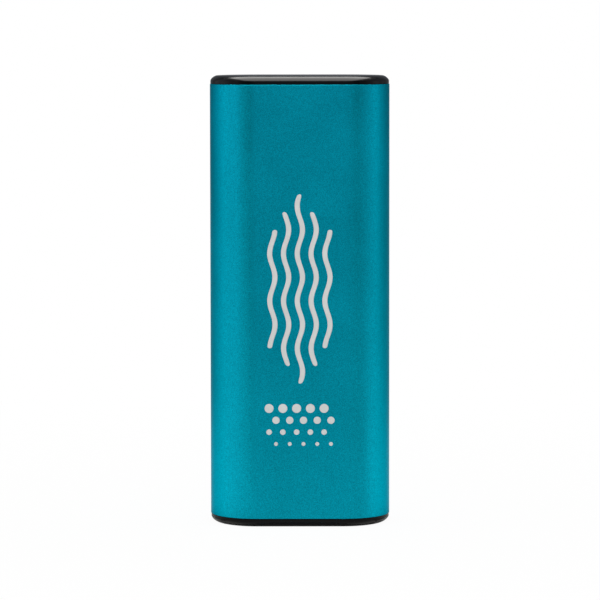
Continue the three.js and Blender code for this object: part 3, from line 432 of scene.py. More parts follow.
def make_piece(name: str, fill: Fill) -> Object:
    """Build a smooth-shaded object whose real edges stay sharp.

    Args:
        name: The piece's name.
        fill: A function that adds the piece's faces to an empty mesh.

    Returns:
        The new object, at the origin, in the scene.
    """
    working = bmesh.new()
    fill(working)
    bmesh.ops.recalc_face_normals(working, faces=working.faces)
    mesh = bpy.data.meshes.new(name)
    working.to_mesh(mesh)
    working.free()
    piece = add_object(name, mesh)
    smooth_but_sharp(piece)
    return piece


def smooth_but_sharp(piece: Object) -> None:
    """Shade a piece smooth and mark the edges past SHARP_DEGREES as sharp."""
    piece.data.shade_smooth()
    piece.data.set_sharp_from_angle(angle=math.radians(SHARP_DEGREES))


def cut_away(piece: Object, tools: Sequence[Object]) -> None:
    """Cut solids out of a piece, then delete them.

    Args:
        piece: The piece that is cut.
        tools: Closed objects that are taken out of it.
    """
    for tool in tools:
        cutter = piece.modifiers.new("cut", "BOOLEAN")
        cutter.operation = "DIFFERENCE"
        cutter.solver = "EXACT"
        cutter.object = tool
    settle(piece)
    for tool in tools:
        bpy.data.objects.remove(tool)
    smooth_but_sharp(piece)


def settle(piece: Object) -> None:
    """Turn a piece's modifiers into its plain mesh.

    Args:
        piece: The piece, which has no modifiers afterwards.
    """
    bpy.context.view_layer.update()
    evaluated = piece.evaluated_get(bpy.context.evaluated_depsgraph_get())
    mesh = bpy.data.meshes.new_from_object(evaluated)
    piece.modifiers.clear()
    piece.data = mesh


def dress_piece(piece: Object, material: Material) -> None:
    """Give a piece one material all over."""
    piece.data.materials.clear()
    piece.data.materials.append(material)


def stand_in(piece: Object, materials: dict[str, Material], node: str, body: str, slot: str) -> None:
    """Dress a piece in the finish of its slot, and let it stand for a CAD node and ride on its body.

    Args:
        piece: The finished piece.
        materials: The finished materials by the record's slot names.
        node: The CAD node it stands for.
        body: The CAD body it moves with.
        slot: The record's material slot.
    """
    dress_piece(piece, materials[slot])
    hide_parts(node)
    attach(piece, body)
    log.info("%s: %d faces, stands for %s", piece.name, len(piece.data.polygons), node)


# The sleeve


@dataclass
class Sleeve:
    """The extruded aluminium tube, with a fine chamfer on both rims and guide rails inside."""

    oval: Oval
    bottom: float
    top: float
    wall: float = 1.1
    chamfer: float = 0.012
    inner_chamfer: float = 0.1
    rail_thickness: float = 0.9
    rail_reach: float = 1.35
    rail_middle: float = 3.2
    rail_setback: float = 8.0
    height_steps: int = 24
    piece: Object = field(init=False)

    def build(self) -> None:
        """Build the tube as one skin round its wall, with the four rails."""
        self.piece = make_piece("sleeve_shell", self.fill)

    def fill(self, mesh: BMesh) -> None:
        """Add the tube's skin and the rails.

        Args:
            mesh: The mesh that gets them.
        """
        straight = (self.bottom + self.chamfer, self.top - self.chamfer)
        rise = (straight[1] - straight[0]) / self.height_steps
        outside = [(0.0, straight[0] + rise * step) for step in range(self.height_steps + 1)]
        section = [
            (self.chamfer, self.bottom), *outside, (self.chamfer, self.top),
            (self.wall - self.inner_chamfer, self.top), (self.wall, self.top - self.inner_chamfer),
            (self.wall, self.bottom + self.inner_chamfer), (self.wall - self.inner_chamfer, self.bottom),
        ]
        add_rings(mesh, [self.oval.ring(inset, height) for inset, height in section], closed=True)
        bore = self.oval.half_width - self.wall
        for side in (1, -1):
            for face in (1, -1):
                across = sorted((side * (bore - self.rail_reach), side * (bore + self.wall / 2)))
                middle, half = face * self.rail_middle, self.rail_thickness / 2
                low = (across[0], middle - half, self.bottom + self.rail_setback)
                add_block(mesh, low, (across[1], middle + half, self.top - self.rail_setback))

    def dress(self, materials: dict[str, Material]) -> None:
        """Give the sleeve its dyed anodising and its place on the housing."""
        stand_in(self.piece, materials, "sleeve", "housing", "teal_anodised")


# The end caps


@dataclass
class PortLayout:
    """Where the base's openings are, in millimetres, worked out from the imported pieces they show."""

    outlet_middle: Point
    outlet_size: Point
    inlet_middle: Point
    inlet_size: Point
    button_middle: Point
    light_places: list[Point]
    clearance: float = 0.12
    lead_in: float = 0.2
    outlet_corner: float = 0.6
    inlet_flare: float = 0.2
    inlet_taper_width: float = 1.1
    inlet_taper_height: float = 1.5
    button_hole_radius: float = 3.15
    light_hole_radius: float = 0.8

    def inlet_outline(self, grow: float) -> list[Point]:
        """The charging inlet's outline: square to the back, tapered to the front.

        Args:
            grow: How far outside the shell.

        Returns:
            The outline's points, counter-clockwise.
        """
        right, back = self.inlet_size[0] / 2 + grow, self.inlet_size[1] / 2 + grow
        taper_top = self.inlet_taper_height - self.inlet_size[1] / 2
        taper_right = self.inlet_size[0] / 2 - self.inlet_taper_width + grow / 2
        outline = [
            (taper_right, -back), (right, taper_top), (right, back),
            (-right, back), (-right, taper_top), (-taper_right, -back),
        ]
        return [(self.inlet_middle[0] + x, self.inlet_middle[1] + y) for x, y in outline]

    def outlet_outline(self, grow: float) -> list[Point]:
        """The power outlet's outline, grown outwards."""
        width, height = (size + 2 * grow for size in self.outlet_size)
        return rounded_rectangle(width, height, self.outlet_corner + grow, self.outlet_middle)


@dataclass
class EndCap:
    """A moulded cap: plate, rounded shoulder, rim and a skirt that goes into the sleeve."""

    oval: Oval
    end: End
    overall_height: float
    ports: PortLayout | None = None
    rim_inset: float = 0.1
    rim_height: float = 0.65
    shoulder_height: float = 1.1
    shoulder_inset: float = 1.35
    shoulder_power: float = 1.32
    shoulder_steps: int = 18
    plate: float = 2.2
    skirt_inset: float = 1.22
    skirt_inner_inset: float = 2.35
    skirt_depth: float = 4.4
    skirt_chamfer: float = 0.24
    edge: float = 0.06
    latch_half_width: float = 2.4
    latch_from_skirt_end: float = 0.8
    latch_slot_height: float = 1.5
    overrun: float = 1.0
    piece: Object = field(init=False)

    def height(self, from_face: float) -> float:
        """The height of a level that is given from the cap's outer face."""
        return self.overall_height - from_face if self.end is End.TOP else from_face

    def build(self) -> None:
        """Build the cap and cut its latch slots and, in the base, its openings."""
        self.piece = make_piece(f"{self.end.value}_cap_moulding", self.fill)
        cuts = [self.latch_slots, *(self.openings(self.ports) if self.ports else ())]
        cut_away(self.piece, [make_piece("cap_cutter", cut) for cut in cuts])

    def fill(self, mesh: BMesh) -> None:
        """Add the cap's skin, from the outer face over shoulder, rim and skirt to the plate's inside.

        Args:
            mesh: The mesh that gets it.
        """
        cap_height = self.rim_height + self.shoulder_height
        skirt_end = cap_height + self.skirt_depth
        section = []
        for step in range(self.shoulder_steps + 1):
            angle = math.pi / 2 * step / self.shoulder_steps
            section.append((
                self.rim_inset + self.shoulder_inset * (1 - math.sin(angle) ** self.shoulder_power),
                self.shoulder_height * (1 - max(math.cos(angle), 0.0) ** self.shoulder_power),
            ))
        section += [
            (self.rim_inset, cap_height - self.edge), (self.rim_inset + self.edge, cap_height),
            (self.skirt_inset, cap_height), (self.skirt_inset, skirt_end - self.skirt_chamfer),
            (self.skirt_inset + self.skirt_chamfer, skirt_end), (self.skirt_inner_inset, skirt_end),
            (self.skirt_inner_inset, self.plate),
        ]
        add_rings(mesh, [self.oval.ring(inset, self.height(z)) for inset, z in section])

    def latch_slots(self, mesh: BMesh) -> None:
        """Add the slots through both rounded ends of the skirt, where the carrier's latches snap in.

        Args:
            mesh: The mesh that gets them.
        """
        far = self.rim_height + self.shoulder_height + self.skirt_depth - self.latch_from_skirt_end
        levels = sorted((self.height(far - self.latch_slot_height), self.height(far)))
        reach = self.oval.half_width - self.skirt_inset / 2
        half = self.latch_half_width
        add_block(mesh, (-reach, -half, levels[0]), (reach, half, levels[1]))

    def openings(self, ports: PortLayout) -> list[Fill]:
        """The openings of the base, each as a function that fills its cutting solid.

        Args:
            ports: Where they are and how big.

        Returns:
            One function for each opening.
        """
        through = self.plate + self.overrun
        fit = ports.clearance

        def tapered(wide: Sequence[Point], narrow: Sequence[Point], depth: float) -> Fill:
            """A hole that narrows from the outer face over a depth, then runs straight."""
            steps = ((wide, -self.overrun), (wide, 0.0), (narrow, depth), (narrow, through))
            return lambda mesh: add_rings(mesh, [level(outline, height) for outline, height in steps])

        lip = ports.inlet_flare + fit
        cuts = [
            tapered(ports.outlet_outline(fit + ports.lead_in), ports.outlet_outline(fit), ports.lead_in),
            tapered(ports.inlet_outline(lip + ports.lead_in), ports.inlet_outline(lip), ports.lead_in),
        ]
        round_holes = [(ports.button_hole_radius, ports.button_middle)]
        round_holes += [(ports.light_hole_radius, place) for place in ports.light_places]
        for radius, middle in round_holes:
            cuts.append(tapered(circle(radius + self.edge, middle), circle(radius, middle), self.edge))
        return cuts

    def dress(self, materials: dict[str, Material]) -> None:
        """Give the cap its black moulded finish and its place on the housing."""
        stand_in(self.piece, materials, f"{self.end.value}_cap", "housing", "black_moulded")


# The power button


@dataclass
class PowerButton:
    """The dished round button in the base, with its flange and stem; it rides on its own body."""

    middle: Point
    stem_top: float
    board: Vector
    travel: float = 0.5
    radius: float = 3.0
    recess: float = 0.2
    edge_round: float = 0.4
    dish: float = 0.25
    dish_margin: float = 0.8
    flange_radius: float = 3.6
    flange_bottom: float = 2.3
    flange_thickness: float = 0.8
    stem_radius: float = 1.0
    sides: int = 96
    round_steps: int = 6
    dish_steps: int = 8
    piece: Object = field(init=False)

    def profile(self) -> list[Point]:
        """The turned form, from the dish's middle to the stem's top.

        Returns:
            Each level's radius and height.
        """
        dish_radius = self.radius - self.dish_margin
        shares = [step / self.dish_steps for step in range(1, self.dish_steps + 1)]
        points = [(dish_radius * share, self.recess + self.dish * (1 - share ** 2)) for share in shares]
        flange_top = self.flange_bottom + self.flange_thickness
        for step in range(self.round_steps + 1):
            angle = math.pi / 2 * step / self.round_steps
            points.append((
                self.radius - self.edge_round * (1 - math.sin(angle)),
                self.recess + self.edge_round * (1 - math.cos(angle)),
            ))
        return points + [
            (self.radius, self.flange_bottom), (self.flange_radius, self.flange_bottom),
            (self.flange_radius, flange_top), (self.stem_radius, flange_top),
            (self.stem_radius, self.stem_top),
        ]

    def fill(self, mesh: BMesh) -> None:
        """Add the turned form, with the flat that clears the board's lowest front edge.

        Args:
            mesh: The mesh that gets it.
        """
        rings = []
        flat_from, back_flat = self.board.z - self.travel - LOOSE_GAP, self.board.y - LOOSE_GAP
        for radius, height in self.profile():
            points = circle(radius, (0.0, 0.0), self.sides)
            if height >= flat_from:
                points = [(x, min(y, back_flat)) for x, y in points]
            rings.append(level([(self.middle[0] + x, self.middle[1] + y) for x, y in points], height))
        add_rings(mesh, rings)

    def build(self) -> None:
        """Build the button."""
        self.piece = make_piece("power_button_cap", self.fill)

    def dress(self, materials: dict[str, Material]) -> None:
        """Give the button its finish and let it ride on its own body."""
        stand_in(self.piece, materials, "power_button", "button", "black_moulded")


# The printed design


@dataclass(frozen=True)
class InkPattern:
    """A printed pattern: its counts and its lengths in millimetres, by the names of its tree's inputs."""

    name: str
    counts: dict[str, int]
    lengths: dict[str, float]


@dataclass
class PrintedDesign:
    """A plain emblem printed in light grey ink on the front: waves of warm air over a field of dots.

    The waves are a row of upright strokes that get shorter from its middle outwards. The dots stand in
    staggered rows and get smaller from the top row to the bottom row.
    """

    front: float
    ink: float = 0.015
    weld_share: float = 0.1
    strip_points: tuple[int, int] = (3, 241)
    disc_points: int = 32
    end_sharpness: float = 60.0
    least_end_width: float = 0.02
    stagger_share: float = 0.5
    waves: InkPattern = InkPattern("printed_warm_waves", {"Stroke Count": 5}, {
        "Pitch": 2.9, "Longest Stroke": 40.0, "Shorter By": 7.5, "Wave Length": 10.0, "Wave Height": 0.55,
        "Line Width": 1.05, "Middle Height": 50.5,
    })
    dots: InkPattern = InkPattern("printed_heat_dots", {"Columns": 5, "Rows": 4}, {
        "Pitch": 2.9, "Largest Radius": 0.95, "Smallest Radius": 0.4, "Middle Height": 21.5,
    })
    pieces: list[Object] = field(default_factory=list)

    def build(self, ink: Material) -> None:
        """Build both parts of the emblem with their Geometry Nodes trees.

        Args:
            ink: The ink's material, which each tree sets on its result.
        """
        for pattern, lay_out in ((self.waves, self.lay_waves), (self.dots, self.lay_dots)):
            self.pieces.append(self.grow(pattern, lay_out, ink))

    def grow(self, pattern: InkPattern, lay_out: Callable[..., Node], ink: Material) -> Object:
        """Grow a pattern on an empty mesh by its Geometry Nodes tree, and keep it as a plain mesh.

        Args:
            pattern: The pattern's name and sizes, each of which becomes an input of the tree.
            lay_out: The method that adds the flat pattern's nodes to a tree and gives the last one.
            ink: The ink's material.

        Returns:
            The finished object.
        """
        tree = bpy.data.node_groups.new(f"{pattern.name}_tree", "GeometryNodeTree")
        lengths = pattern.lengths | {"Ink Thickness": self.ink, "Front": self.front}
        sizes = pattern.counts | {name: length * MM for name, length in lengths.items()}
        tree.interface.new_socket("Geometry", in_out="INPUT", socket_type="NodeSocketGeometry")
        for name, value in sizes.items():
            kind = "NodeSocketInt" if name in pattern.counts else "NodeSocketFloat"
            tree.interface.new_socket(name, in_out="INPUT", socket_type=kind).default_value = value
        tree.interface.new_socket("Geometry", in_out="OUTPUT", socket_type="NodeSocketGeometry")
        size = add_node(tree, "NodeGroupInput").outputs
        self.raise_ink(tree, lay_out(tree, size), size, ink)

        piece = add_object(pattern.name, bpy.data.meshes.new(pattern.name))
        piece.modifiers.new("pattern", "NODES").node_group = tree
        settle(piece)
        smooth_but_sharp(piece)
        return piece

    def raise_ink(self, tree: NodeTree, flat: Node, size: Sequence[NodeSocket], ink: Material) -> None:
        """Thicken a flat pattern that faces the front, give it its ink and end the tree.

        Args:
            tree: The tree to end.
            flat: The node that gives the flat pattern, on the XZ plane through the origin.
            size: The tree's inputs by name.
            ink: The ink's material.
        """
        node = partial(add_node, tree)
        real = node("GeometryNodeRealizeInstances", {"Geometry": flat})
        raised = node("GeometryNodeExtrudeMesh", {
            "Mesh": real, "Offset": (0.0, -1.0, 0.0), "Offset Scale": size["Ink Thickness"],
            "Individual": False,
        })
        backed = node("GeometryNodeFlipFaces", {"Mesh": real})
        joined = node("GeometryNodeJoinGeometry", {"Geometry": raised})
        tree.links.new(backed.outputs["Mesh"], joined.inputs["Geometry"])
        welded = node("GeometryNodeMergeByDistance", {
            "Geometry": joined, "Distance": self.ink * self.weld_share * MM,
        })
        place = node("ShaderNodeCombineXYZ", {"Y": size["Front"], "Z": size["Middle Height"]})
        moved = node("GeometryNodeTransform", {"Geometry": welded, "Translation": place})
        inked = node("GeometryNodeSetMaterial", {"Geometry": moved, "Material": ink})
        node("NodeGroupOutput", {"Geometry": inked})

    def lay_waves(self, tree: NodeTree, size: Sequence[NodeSocket]) -> Node:
        """Add the waves' nodes: a strip for each stroke, bent by a sine and rounded at its ends.

        Args:
            tree: The tree that gets them.
            size: The tree's inputs by name.

        Returns:
            The node that gives the flat strokes.
        """
        node = partial(add_node, tree)

        # One unit strip on each of as many points as there are strokes, each with its stroke's number
        spots = node("GeometryNodePoints", {"Count": size["Stroke Count"]})
        strip = node("GeometryNodeMeshGrid", {
            "Size X": 1.0, "Size Y": 1.0,
            "Vertices X": self.strip_points[0], "Vertices Y": self.strip_points[1],
        })
        row = node("GeometryNodeInstanceOnPoints", {"Points": spots, "Instance": strip})
        held = node("GeometryNodeStoreNamedAttribute", {
            "Geometry": row, "Name": "stroke", "Value": node("GeometryNodeInputIndex"),
        }, domain="INSTANCE", data_type="FLOAT")
        strips = node("GeometryNodeRealizeInstances", {"Geometry": held})

        # How far a stroke lies from the row's middle, which sets its length
        stroke = node("GeometryNodeInputNamedAttribute", {"Name": "stroke"}, data_type="FLOAT")
        last = node("ShaderNodeMath", (size["Stroke Count"], 1.0), operation="SUBTRACT")
        middle = node("ShaderNodeMath", (last, 2.0), operation="DIVIDE")
        aside = node("ShaderNodeMath", (stroke, middle), operation="SUBTRACT")
        away = node("ShaderNodeMath", (aside,), operation="ABSOLUTE")
        drop = node("ShaderNodeMath", (away, size["Shorter By"]), operation="MULTIPLY")
        length = node("ShaderNodeMath", (size["Longest Stroke"], drop), operation="SUBTRACT")

        # The wave along the stroke, about the stroke's own line
        local = node("ShaderNodeSeparateXYZ", (node("GeometryNodeInputPosition"),))
        along = node("ShaderNodeMath", (local.outputs["Y"], length), operation="MULTIPLY")
        waves = node("ShaderNodeMath", (along, size["Wave Length"]), operation="DIVIDE")
        phase = node("ShaderNodeMath", (waves, math.tau), operation="MULTIPLY")
        sine = node("ShaderNodeMath", (phase,), operation="SINE")
        line = node("ShaderNodeMath", (aside, size["Pitch"]), operation="MULTIPLY")
        swung = node("ShaderNodeMath", (sine, size["Wave Height"], line), operation="MULTIPLY_ADD")

        # The stroke's width, which closes in a rounded end
        double = node("ShaderNodeMath", (local.outputs["Y"], 2.0), operation="MULTIPLY")
        from_middle = node("ShaderNodeMath", (double,), operation="ABSOLUTE")
        end_share = node("ShaderNodeMath", (from_middle, self.end_sharpness), operation="POWER")
        left = node("ShaderNodeMath", (1.0, end_share), operation="SUBTRACT")
        kept = node("ShaderNodeMath", (left, self.least_end_width ** 2), operation="MAXIMUM")
        taper = node("ShaderNodeMath", (kept,), operation="SQRT")
        width = node("ShaderNodeMath", (taper, size["Line Width"]), operation="MULTIPLY")
        across = node("ShaderNodeMath", (local.outputs["X"], width, swung), operation="MULTIPLY_ADD")

        place = node("ShaderNodeCombineXYZ", {"X": across, "Z": along})
        return node("GeometryNodeSetPosition", {"Geometry": strips, "Position": place})

    def lay_dots(self, tree: NodeTree, size: Sequence[NodeSocket]) -> Node:
        """Add the dot field's nodes: a disc on each staggered point, smaller down the rows.

        Args:
            tree: The tree that gets them.
            size: The tree's inputs by name.

        Returns:
            The node that gives the flat discs.
        """
        node = partial(add_node, tree)

        # As many points as dots, each with its row and its column
        total = node("ShaderNodeMath", (size["Columns"], size["Rows"]), operation="MULTIPLY")
        spots = node("GeometryNodePoints", {"Count": total})
        numbers = (node("GeometryNodeInputIndex"), size["Columns"])
        row = node("FunctionNodeIntegerMath", numbers, operation="DIVIDE_FLOOR")
        column = node("FunctionNodeIntegerMath", numbers, operation="MODULO")

        # Every second row stands aside by a share of the pitch, and both kinds of row share one middle
        odd = node("ShaderNodeMath", (row, 2.0), operation="MODULO")
        shift = node("ShaderNodeMath", (odd, self.stagger_share, column), operation="MULTIPLY_ADD")
        spread = (size["Columns"], 0.5, (self.stagger_share - 1) / 2)
        middle = node("ShaderNodeMath", spread, operation="MULTIPLY_ADD")
        beside = node("ShaderNodeMath", (shift, middle), operation="SUBTRACT")
        across = node("ShaderNodeMath", (beside, size["Pitch"]), operation="MULTIPLY")

        # Rows stand as close as dots at one pitch allow
        last_row = node("ShaderNodeMath", (size["Rows"], 1.0), operation="SUBTRACT")
        half_rows = node("ShaderNodeMath", (last_row, 2.0), operation="DIVIDE")
        above = node("ShaderNodeMath", (half_rows, row), operation="SUBTRACT")
        row_pitch = node("ShaderNodeMath", (size["Pitch"], math.sqrt(3) / 2), operation="MULTIPLY")
        height = node("ShaderNodeMath", (above, row_pitch), operation="MULTIPLY")

        place = node("ShaderNodeCombineXYZ", {"X": across, "Z": height})
        set_out = node("GeometryNodeSetPosition", {"Geometry": spots, "Position": place})
        disc = node("GeometryNodeMeshCircle", {"Vertices": self.disc_points, "Radius": 1.0}, fill_type="NGON")
        facing = node("GeometryNodeTransform", {"Geometry": disc, "Rotation": (math.pi / 2, 0.0, 0.0)})
        radius = node("ShaderNodeMapRange", {
            "Value": row, "From Min": 0.0, "From Max": last_row,
            "To Min": size["Largest Radius"], "To Max": size["Smallest Radius"],
        })
        return node("GeometryNodeInstanceOnPoints", {"Points": set_out, "Instance": facing, "Scale": radius})

    def dress(self) -> None:
        """Let both parts of the emblem ride on the housing."""
        for piece in self.pieces:
            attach(piece, "housing")
            log.info("%s: %d faces of ink", piece.name, len(piece.data.polygons))


# The pieces that keep their CAD shape


@dataclass
class InnerWorks:
    """Every CAD node that still shows: cell, carrier, heaters, board, sockets and switch."""

    nodes: dict[str, Object]
    record: dict

    def dress(self, materials: dict[str, Material]) -> None:
        """Give each shown node the finish of its slot.

        Args:
            materials: The finished materials by the record's slot names.
        """
        slots = {part["node"]: part["material_slot"] for part in self.record["subparts"]}
        for name, piece in self.nodes.items():
            if piece.hide_render:
                continue
            dress_piece(piece, materials[slots[name]])
            log.info("%s: finished as %s", name, slots[name])


# Studio


@dataclass(frozen=True)
class SoftBox:
    """A rectangular lamp that faces the middle of the object, given round it in degrees and metres.

    One that is for polish only draws a highlight and leaves the plain level of the light alone.
    """

    name: str
    azimuth: float
    elevation: float
    distance: float
    width: float
    height: float
    watts: float
    polish_only: bool = False


class CardPlace(Enum):
    """Where a card is: on the wall or in a ring of the floor.

    Each has the distances of its first and second edge from the object's outline, in metres.
    """

    WALL = (1.5, 1.5)
    CONTACT_FLOOR = (0.0015, 0.005)
    SHADED_FLOOR = (0.005, 0.012)
    NEAR_FLOOR = (0.012, 0.2)
    FAR_FLOOR = (0.2, 1.5)


@dataclass(frozen=True)
class Card:
    """A grey card in one sector round the object, in degrees, that only polished surfaces see: it glows,
    though it is no lamp, as a painted reflection.
    """

    azimuth: float
    half_angle: float
    brightness: float


@dataclass
class Studio:
    """Floor, lamps, cards, white background and camera, in metres."""

    target: Vector
    footprint: Oval
    camera_distance: float = 0.803
    camera_height: float = 0.1099
    camera_aim: float = 0.0473
    camera_roll: float = -0.063
    camera_shift: float = 0.00015
    focal_pixels: float = 3772.0
    sensor: float = 36.0
    card_step: float = 4.0
    card_lift: float = 0.0002
    wall_height: float = 1.6
    wall_tone: str = "#eef4ff"
    floor_tone: str = "#fefff9"
    lamp_tone: str = "#fffdf9"
    floor_size: float = 6.0
    floor_drop: float = 0.00005
    floor_colour: str = "#f4f4f2"
    floor_camera_share: float = 0.95
    floor_near: float = 0.02
    floor_far: float = 0.25
    world_on_object: float = 0.84
    boxes: tuple[SoftBox, ...] = (
        SoftBox("left_soft_box", azimuth=-92, elevation=6, distance=1.2, width=0.6, height=0.8, watts=0.68),
        SoftBox("right_soft_box", azimuth=98, elevation=6, distance=1.2, width=0.4, height=0.8, watts=0.47),
        SoftBox(
            "top_soft_box", azimuth=0, elevation=88, distance=1.15, width=1.3, height=1.8, watts=88.0,
            polish_only=True,
        ),
        SoftBox("front_soft_box", azimuth=0, elevation=42, distance=1.3, width=0.7, height=0.4, watts=3.0),
    )
    cards: ClassVar[dict[CardPlace, tuple[Card, ...]]] = {
        CardPlace.WALL: (
            Card(0, 10, 0.65), Card(-20, 10, 0.05), Card(-40, 10, 0.2), Card(-60, 10, 1.0),
            Card(-85, 15, 0.66), Card(-115, 15, 0.7), Card(20, 10, 0.46), Card(40, 10, 0.13),
            Card(60, 10, 0.38), Card(85, 15, 0.64), Card(115, 15, 0.44), Card(180, 50, 0.2),
        ),
        # Painted shade and highlight in reflections: the contact ring is bright in front of the base and dark
        # behind it, and the shaded ring stands for the contact shadow.
        CardPlace.CONTACT_FLOOR: (Card(0, 65, 1.0), Card(180, 115, 0.45)),
        CardPlace.SHADED_FLOOR: (Card(0, 180, 0.7),),
        CardPlace.NEAR_FLOOR: (
            Card(0, 22.5, 0.72), Card(-45, 22.5, 1.05), Card(-90, 22.5, 1.2),
            Card(45, 22.5, 0.82), Card(90, 22.5, 1.2), Card(180, 67.5, 1.2),
        ),
        CardPlace.FAR_FLOOR: (
            Card(0, 22.5, 0.36), Card(-45, 22.5, 0.87), Card(-90, 22.5, 0.76),
            Card(45, 22.5, 0.58), Card(90, 22.5, 0.7), Card(180, 67.5, 0.6),
        ),
    }

    def build(self) -> None:
        """Set up floor, lamps, cards, world and camera."""
        bpy.context.scene.view_settings.view_transform = "Standard"
        self.build_world()
        self.build_floor()
        for box in self.boxes:
            self.build_box(box)
        cards = [(place, card) for place, placed in self.cards.items() for card in placed]
        for number, (place, card) in enumerate(cards, start=1):
            self.build_card(f"{place.name.lower()}_card_{number}", place, card)
        self.build_camera()

    def direction(self, azimuth: float, elevation: float) -> Vector:
        """The direction from the object to a place round it; azimuth 0 is the front, 90 the right."""
        around, up = math.radians(azimuth), math.radians(elevation)
        return Vector((math.sin(around) * math.cos(up), -math.cos(around) * math.cos(up), math.sin(up)))

    def round_about(self, azimuth: float, away: float) -> Vector:
        """A place on the floor round the object, whose outline is taken as an ellipse.

        Args:
            azimuth: Where it is, in degrees.
            away: How far outside the outline, in metres.

        Returns:
            The place.
        """
        toward = self.direction(azimuth, 0)
        half = Vector((self.footprint.half_width, self.footprint.half_depth)) * MM
        return toward * (away + 1 / math.hypot(toward.x / half.x, toward.y / half.y))

    def seen_rays(self, tree: NodeTree) -> tuple[NodeSocket, Node]:
        """Tell the rays that show a surface from the ones that light others by it.

        Args:
            tree: The node tree of the surface or the world.

        Returns:
            What is 1 for the camera's own rays, and what is 1 for those and for the ones that come off a
            polished surface or through a clear one.
        """
        path = add_node(tree, "ShaderNodeLightPath").outputs
        polished = (path["Is Glossy Ray"], path["Is Transmission Ray"])
        shiny = add_node(tree, "ShaderNodeMath", polished, operation="MAXIMUM")
        direct = path["Is Camera Ray"]
        return direct, add_node(tree, "ShaderNodeMath", (direct, shiny), operation="MAXIMUM")

    def build_world(self) -> None:
        """A white background to look at, also off polished surfaces, and a plain light on the rest."""
        world = bpy.data.worlds.new("white_studio")
        bpy.context.scene.world = world
        tree = empty_tree(world)
        _, seen = self.seen_rays(tree)
        strength = add_node(tree, "ShaderNodeMapRange", {
            "Value": seen, "To Min": self.world_on_object, "To Max": 1.0,
        })
        background = add_node(tree, "ShaderNodeBackground", {"Color": linear(WHITE), "Strength": strength})
        add_node(tree, "ShaderNodeOutputWorld", {"Surface": background})

    def build_floor(self) -> None:
        """A plain pale floor that keeps the object's soft shadow and turns white away from it.

        From below it is clear, so that the base can be looked at.
        """
        half = self.floor_size / 2

        def fill(mesh: BMesh) -> None:
            """Add one square face."""
            corners = ((-half, -half), (half, -half), (half, half), (-half, half))
            mesh.faces.new([mesh.verts.new((x, y, -self.floor_drop)) for x, y in corners])

        floor = make_piece("studio_floor", fill)
        material = bpy.data.materials.new("pale_paper_sweep")
        tree = empty_tree(material)
        node = partial(add_node, tree)
        direct, seen = self.seen_rays(tree)
        near = node("ShaderNodeMath", (direct, self.floor_camera_share), operation="MULTIPLY")
        place = node("ShaderNodeTexCoord")
        away = node("ShaderNodeVectorMath", (place.outputs["Object"],), operation="LENGTH")
        share = node("ShaderNodeMapRange", {
            "Value": away.outputs["Value"], "From Min": self.floor_near, "From Max": self.floor_far,
            "To Min": near, "To Max": seen,
        })
        matt = node("ShaderNodeBsdfDiffuse", {"Color": linear(self.floor_colour)})
        white = node("ShaderNodeEmission", {"Color": linear(WHITE), "Strength": 1.0})
        paper = node("ShaderNodeMixShader", (share, matt, white))
        clear = node("ShaderNodeBsdfTransparent")
        under = node("ShaderNodeNewGeometry").outputs["Backfacing"]
        shown = node("ShaderNodeMixShader", (under, paper, clear))
        node("ShaderNodeOutputMaterial", {"Surface": shown})
        dress_piece(floor, material)
        floor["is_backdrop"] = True

    def build_box(self, box: SoftBox) -> None:
        """Hang one soft box and turn it to the object.

        Args:
            box: Its place, size and power.
        """
        lamp = bpy.data.lights.new(box.name, "AREA")
        lamp.shape = "RECTANGLE"
        lamp.size, lamp.size_y, lamp.energy = box.width, box.height, box.watts
        lamp.color = linear(self.lamp_tone)[:3]
        holder = add_object(box.name, lamp)
        away = self.direction(box.azimuth, box.elevation)
        holder.location = self.target + away * box.distance
        holder.rotation_mode = "QUATERNION"
        holder.rotation_quaternion = away.to_track_quat("Z", "Y")
        holder.visible_diffuse = not box.polish_only

    def build_card(self, name: str, place: CardPlace, card: Card) -> None:
        """Set one card round the object, hidden from everything but polished surfaces.

        Args:
            name: The card's name.
            place: Whether it is on the wall or which ring of the floor.
            card: Its sector and shade.
        """
        steps = math.ceil(2 * card.half_angle / self.card_step)
        turns = [card.azimuth + card.half_angle * (2 * step / steps - 1) for step in range(steps + 1)]
        if place is CardPlace.WALL:
            tone, heights = self.wall_tone, (0.0, self.wall_height)
        else:
            tone, heights = self.floor_tone, (self.card_lift, self.card_lift)

        def fill(mesh: BMesh) -> None:
            """Add the card as a strip round the object."""
            near, far = (
                [mesh.verts.new(self.round_about(turn, away) + Vector((0.0, 0.0, up))) for turn in turns]
                for away, up in zip(place.value, heights)
            )
            for at in range(steps):
                mesh.faces.new((near[at], near[at + 1], far[at + 1], far[at]))

        panel = make_piece(name, fill)
        # Each card glows with its shade as a painted reflection: it is no lamp, and only polished surfaces
        # see it.
        material = bpy.data.materials.new(f"{name}_felt")
        tree = empty_tree(material)
        reflection_glow = add_node(tree, "ShaderNodeEmission", {"Color": linear(tone), "Strength": card.brightness})
        add_node(tree, "ShaderNodeOutputMaterial", {"Surface": reflection_glow})
        dress_piece(panel, material)
        for rays in ("camera", "diffuse", "transmission", "shadow"):
            setattr(panel, f"visible_{rays}", False)
        panel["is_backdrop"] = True

    def build_camera(self) -> None:
        """Stand the camera where the photograph was taken from."""
        lens = bpy.data.cameras.new("product_camera")
        lens.sensor_width = self.sensor
        lens.lens = self.focal_pixels / PHOTO_PIXELS * self.sensor
        lens.shift_x = self.camera_shift
        camera = add_object("product_camera", lens)
        camera.location = Vector((0.0, -self.camera_distance, self.camera_height))
        aim = Vector((0.0, 0.0, self.camera_aim)) - camera.location
        upright = aim.to_track_quat("-Z", "Y")
        camera.rotation_mode = "QUATERNION"
        camera.rotation_quaternion = upright @ Quaternion((0.0, 0.0, 1.0), math.radians(self.camera_roll))
        bpy.context.scene.camera = camera


# The finishes of this hand warmer, by the record's slot names, and the ink by its own

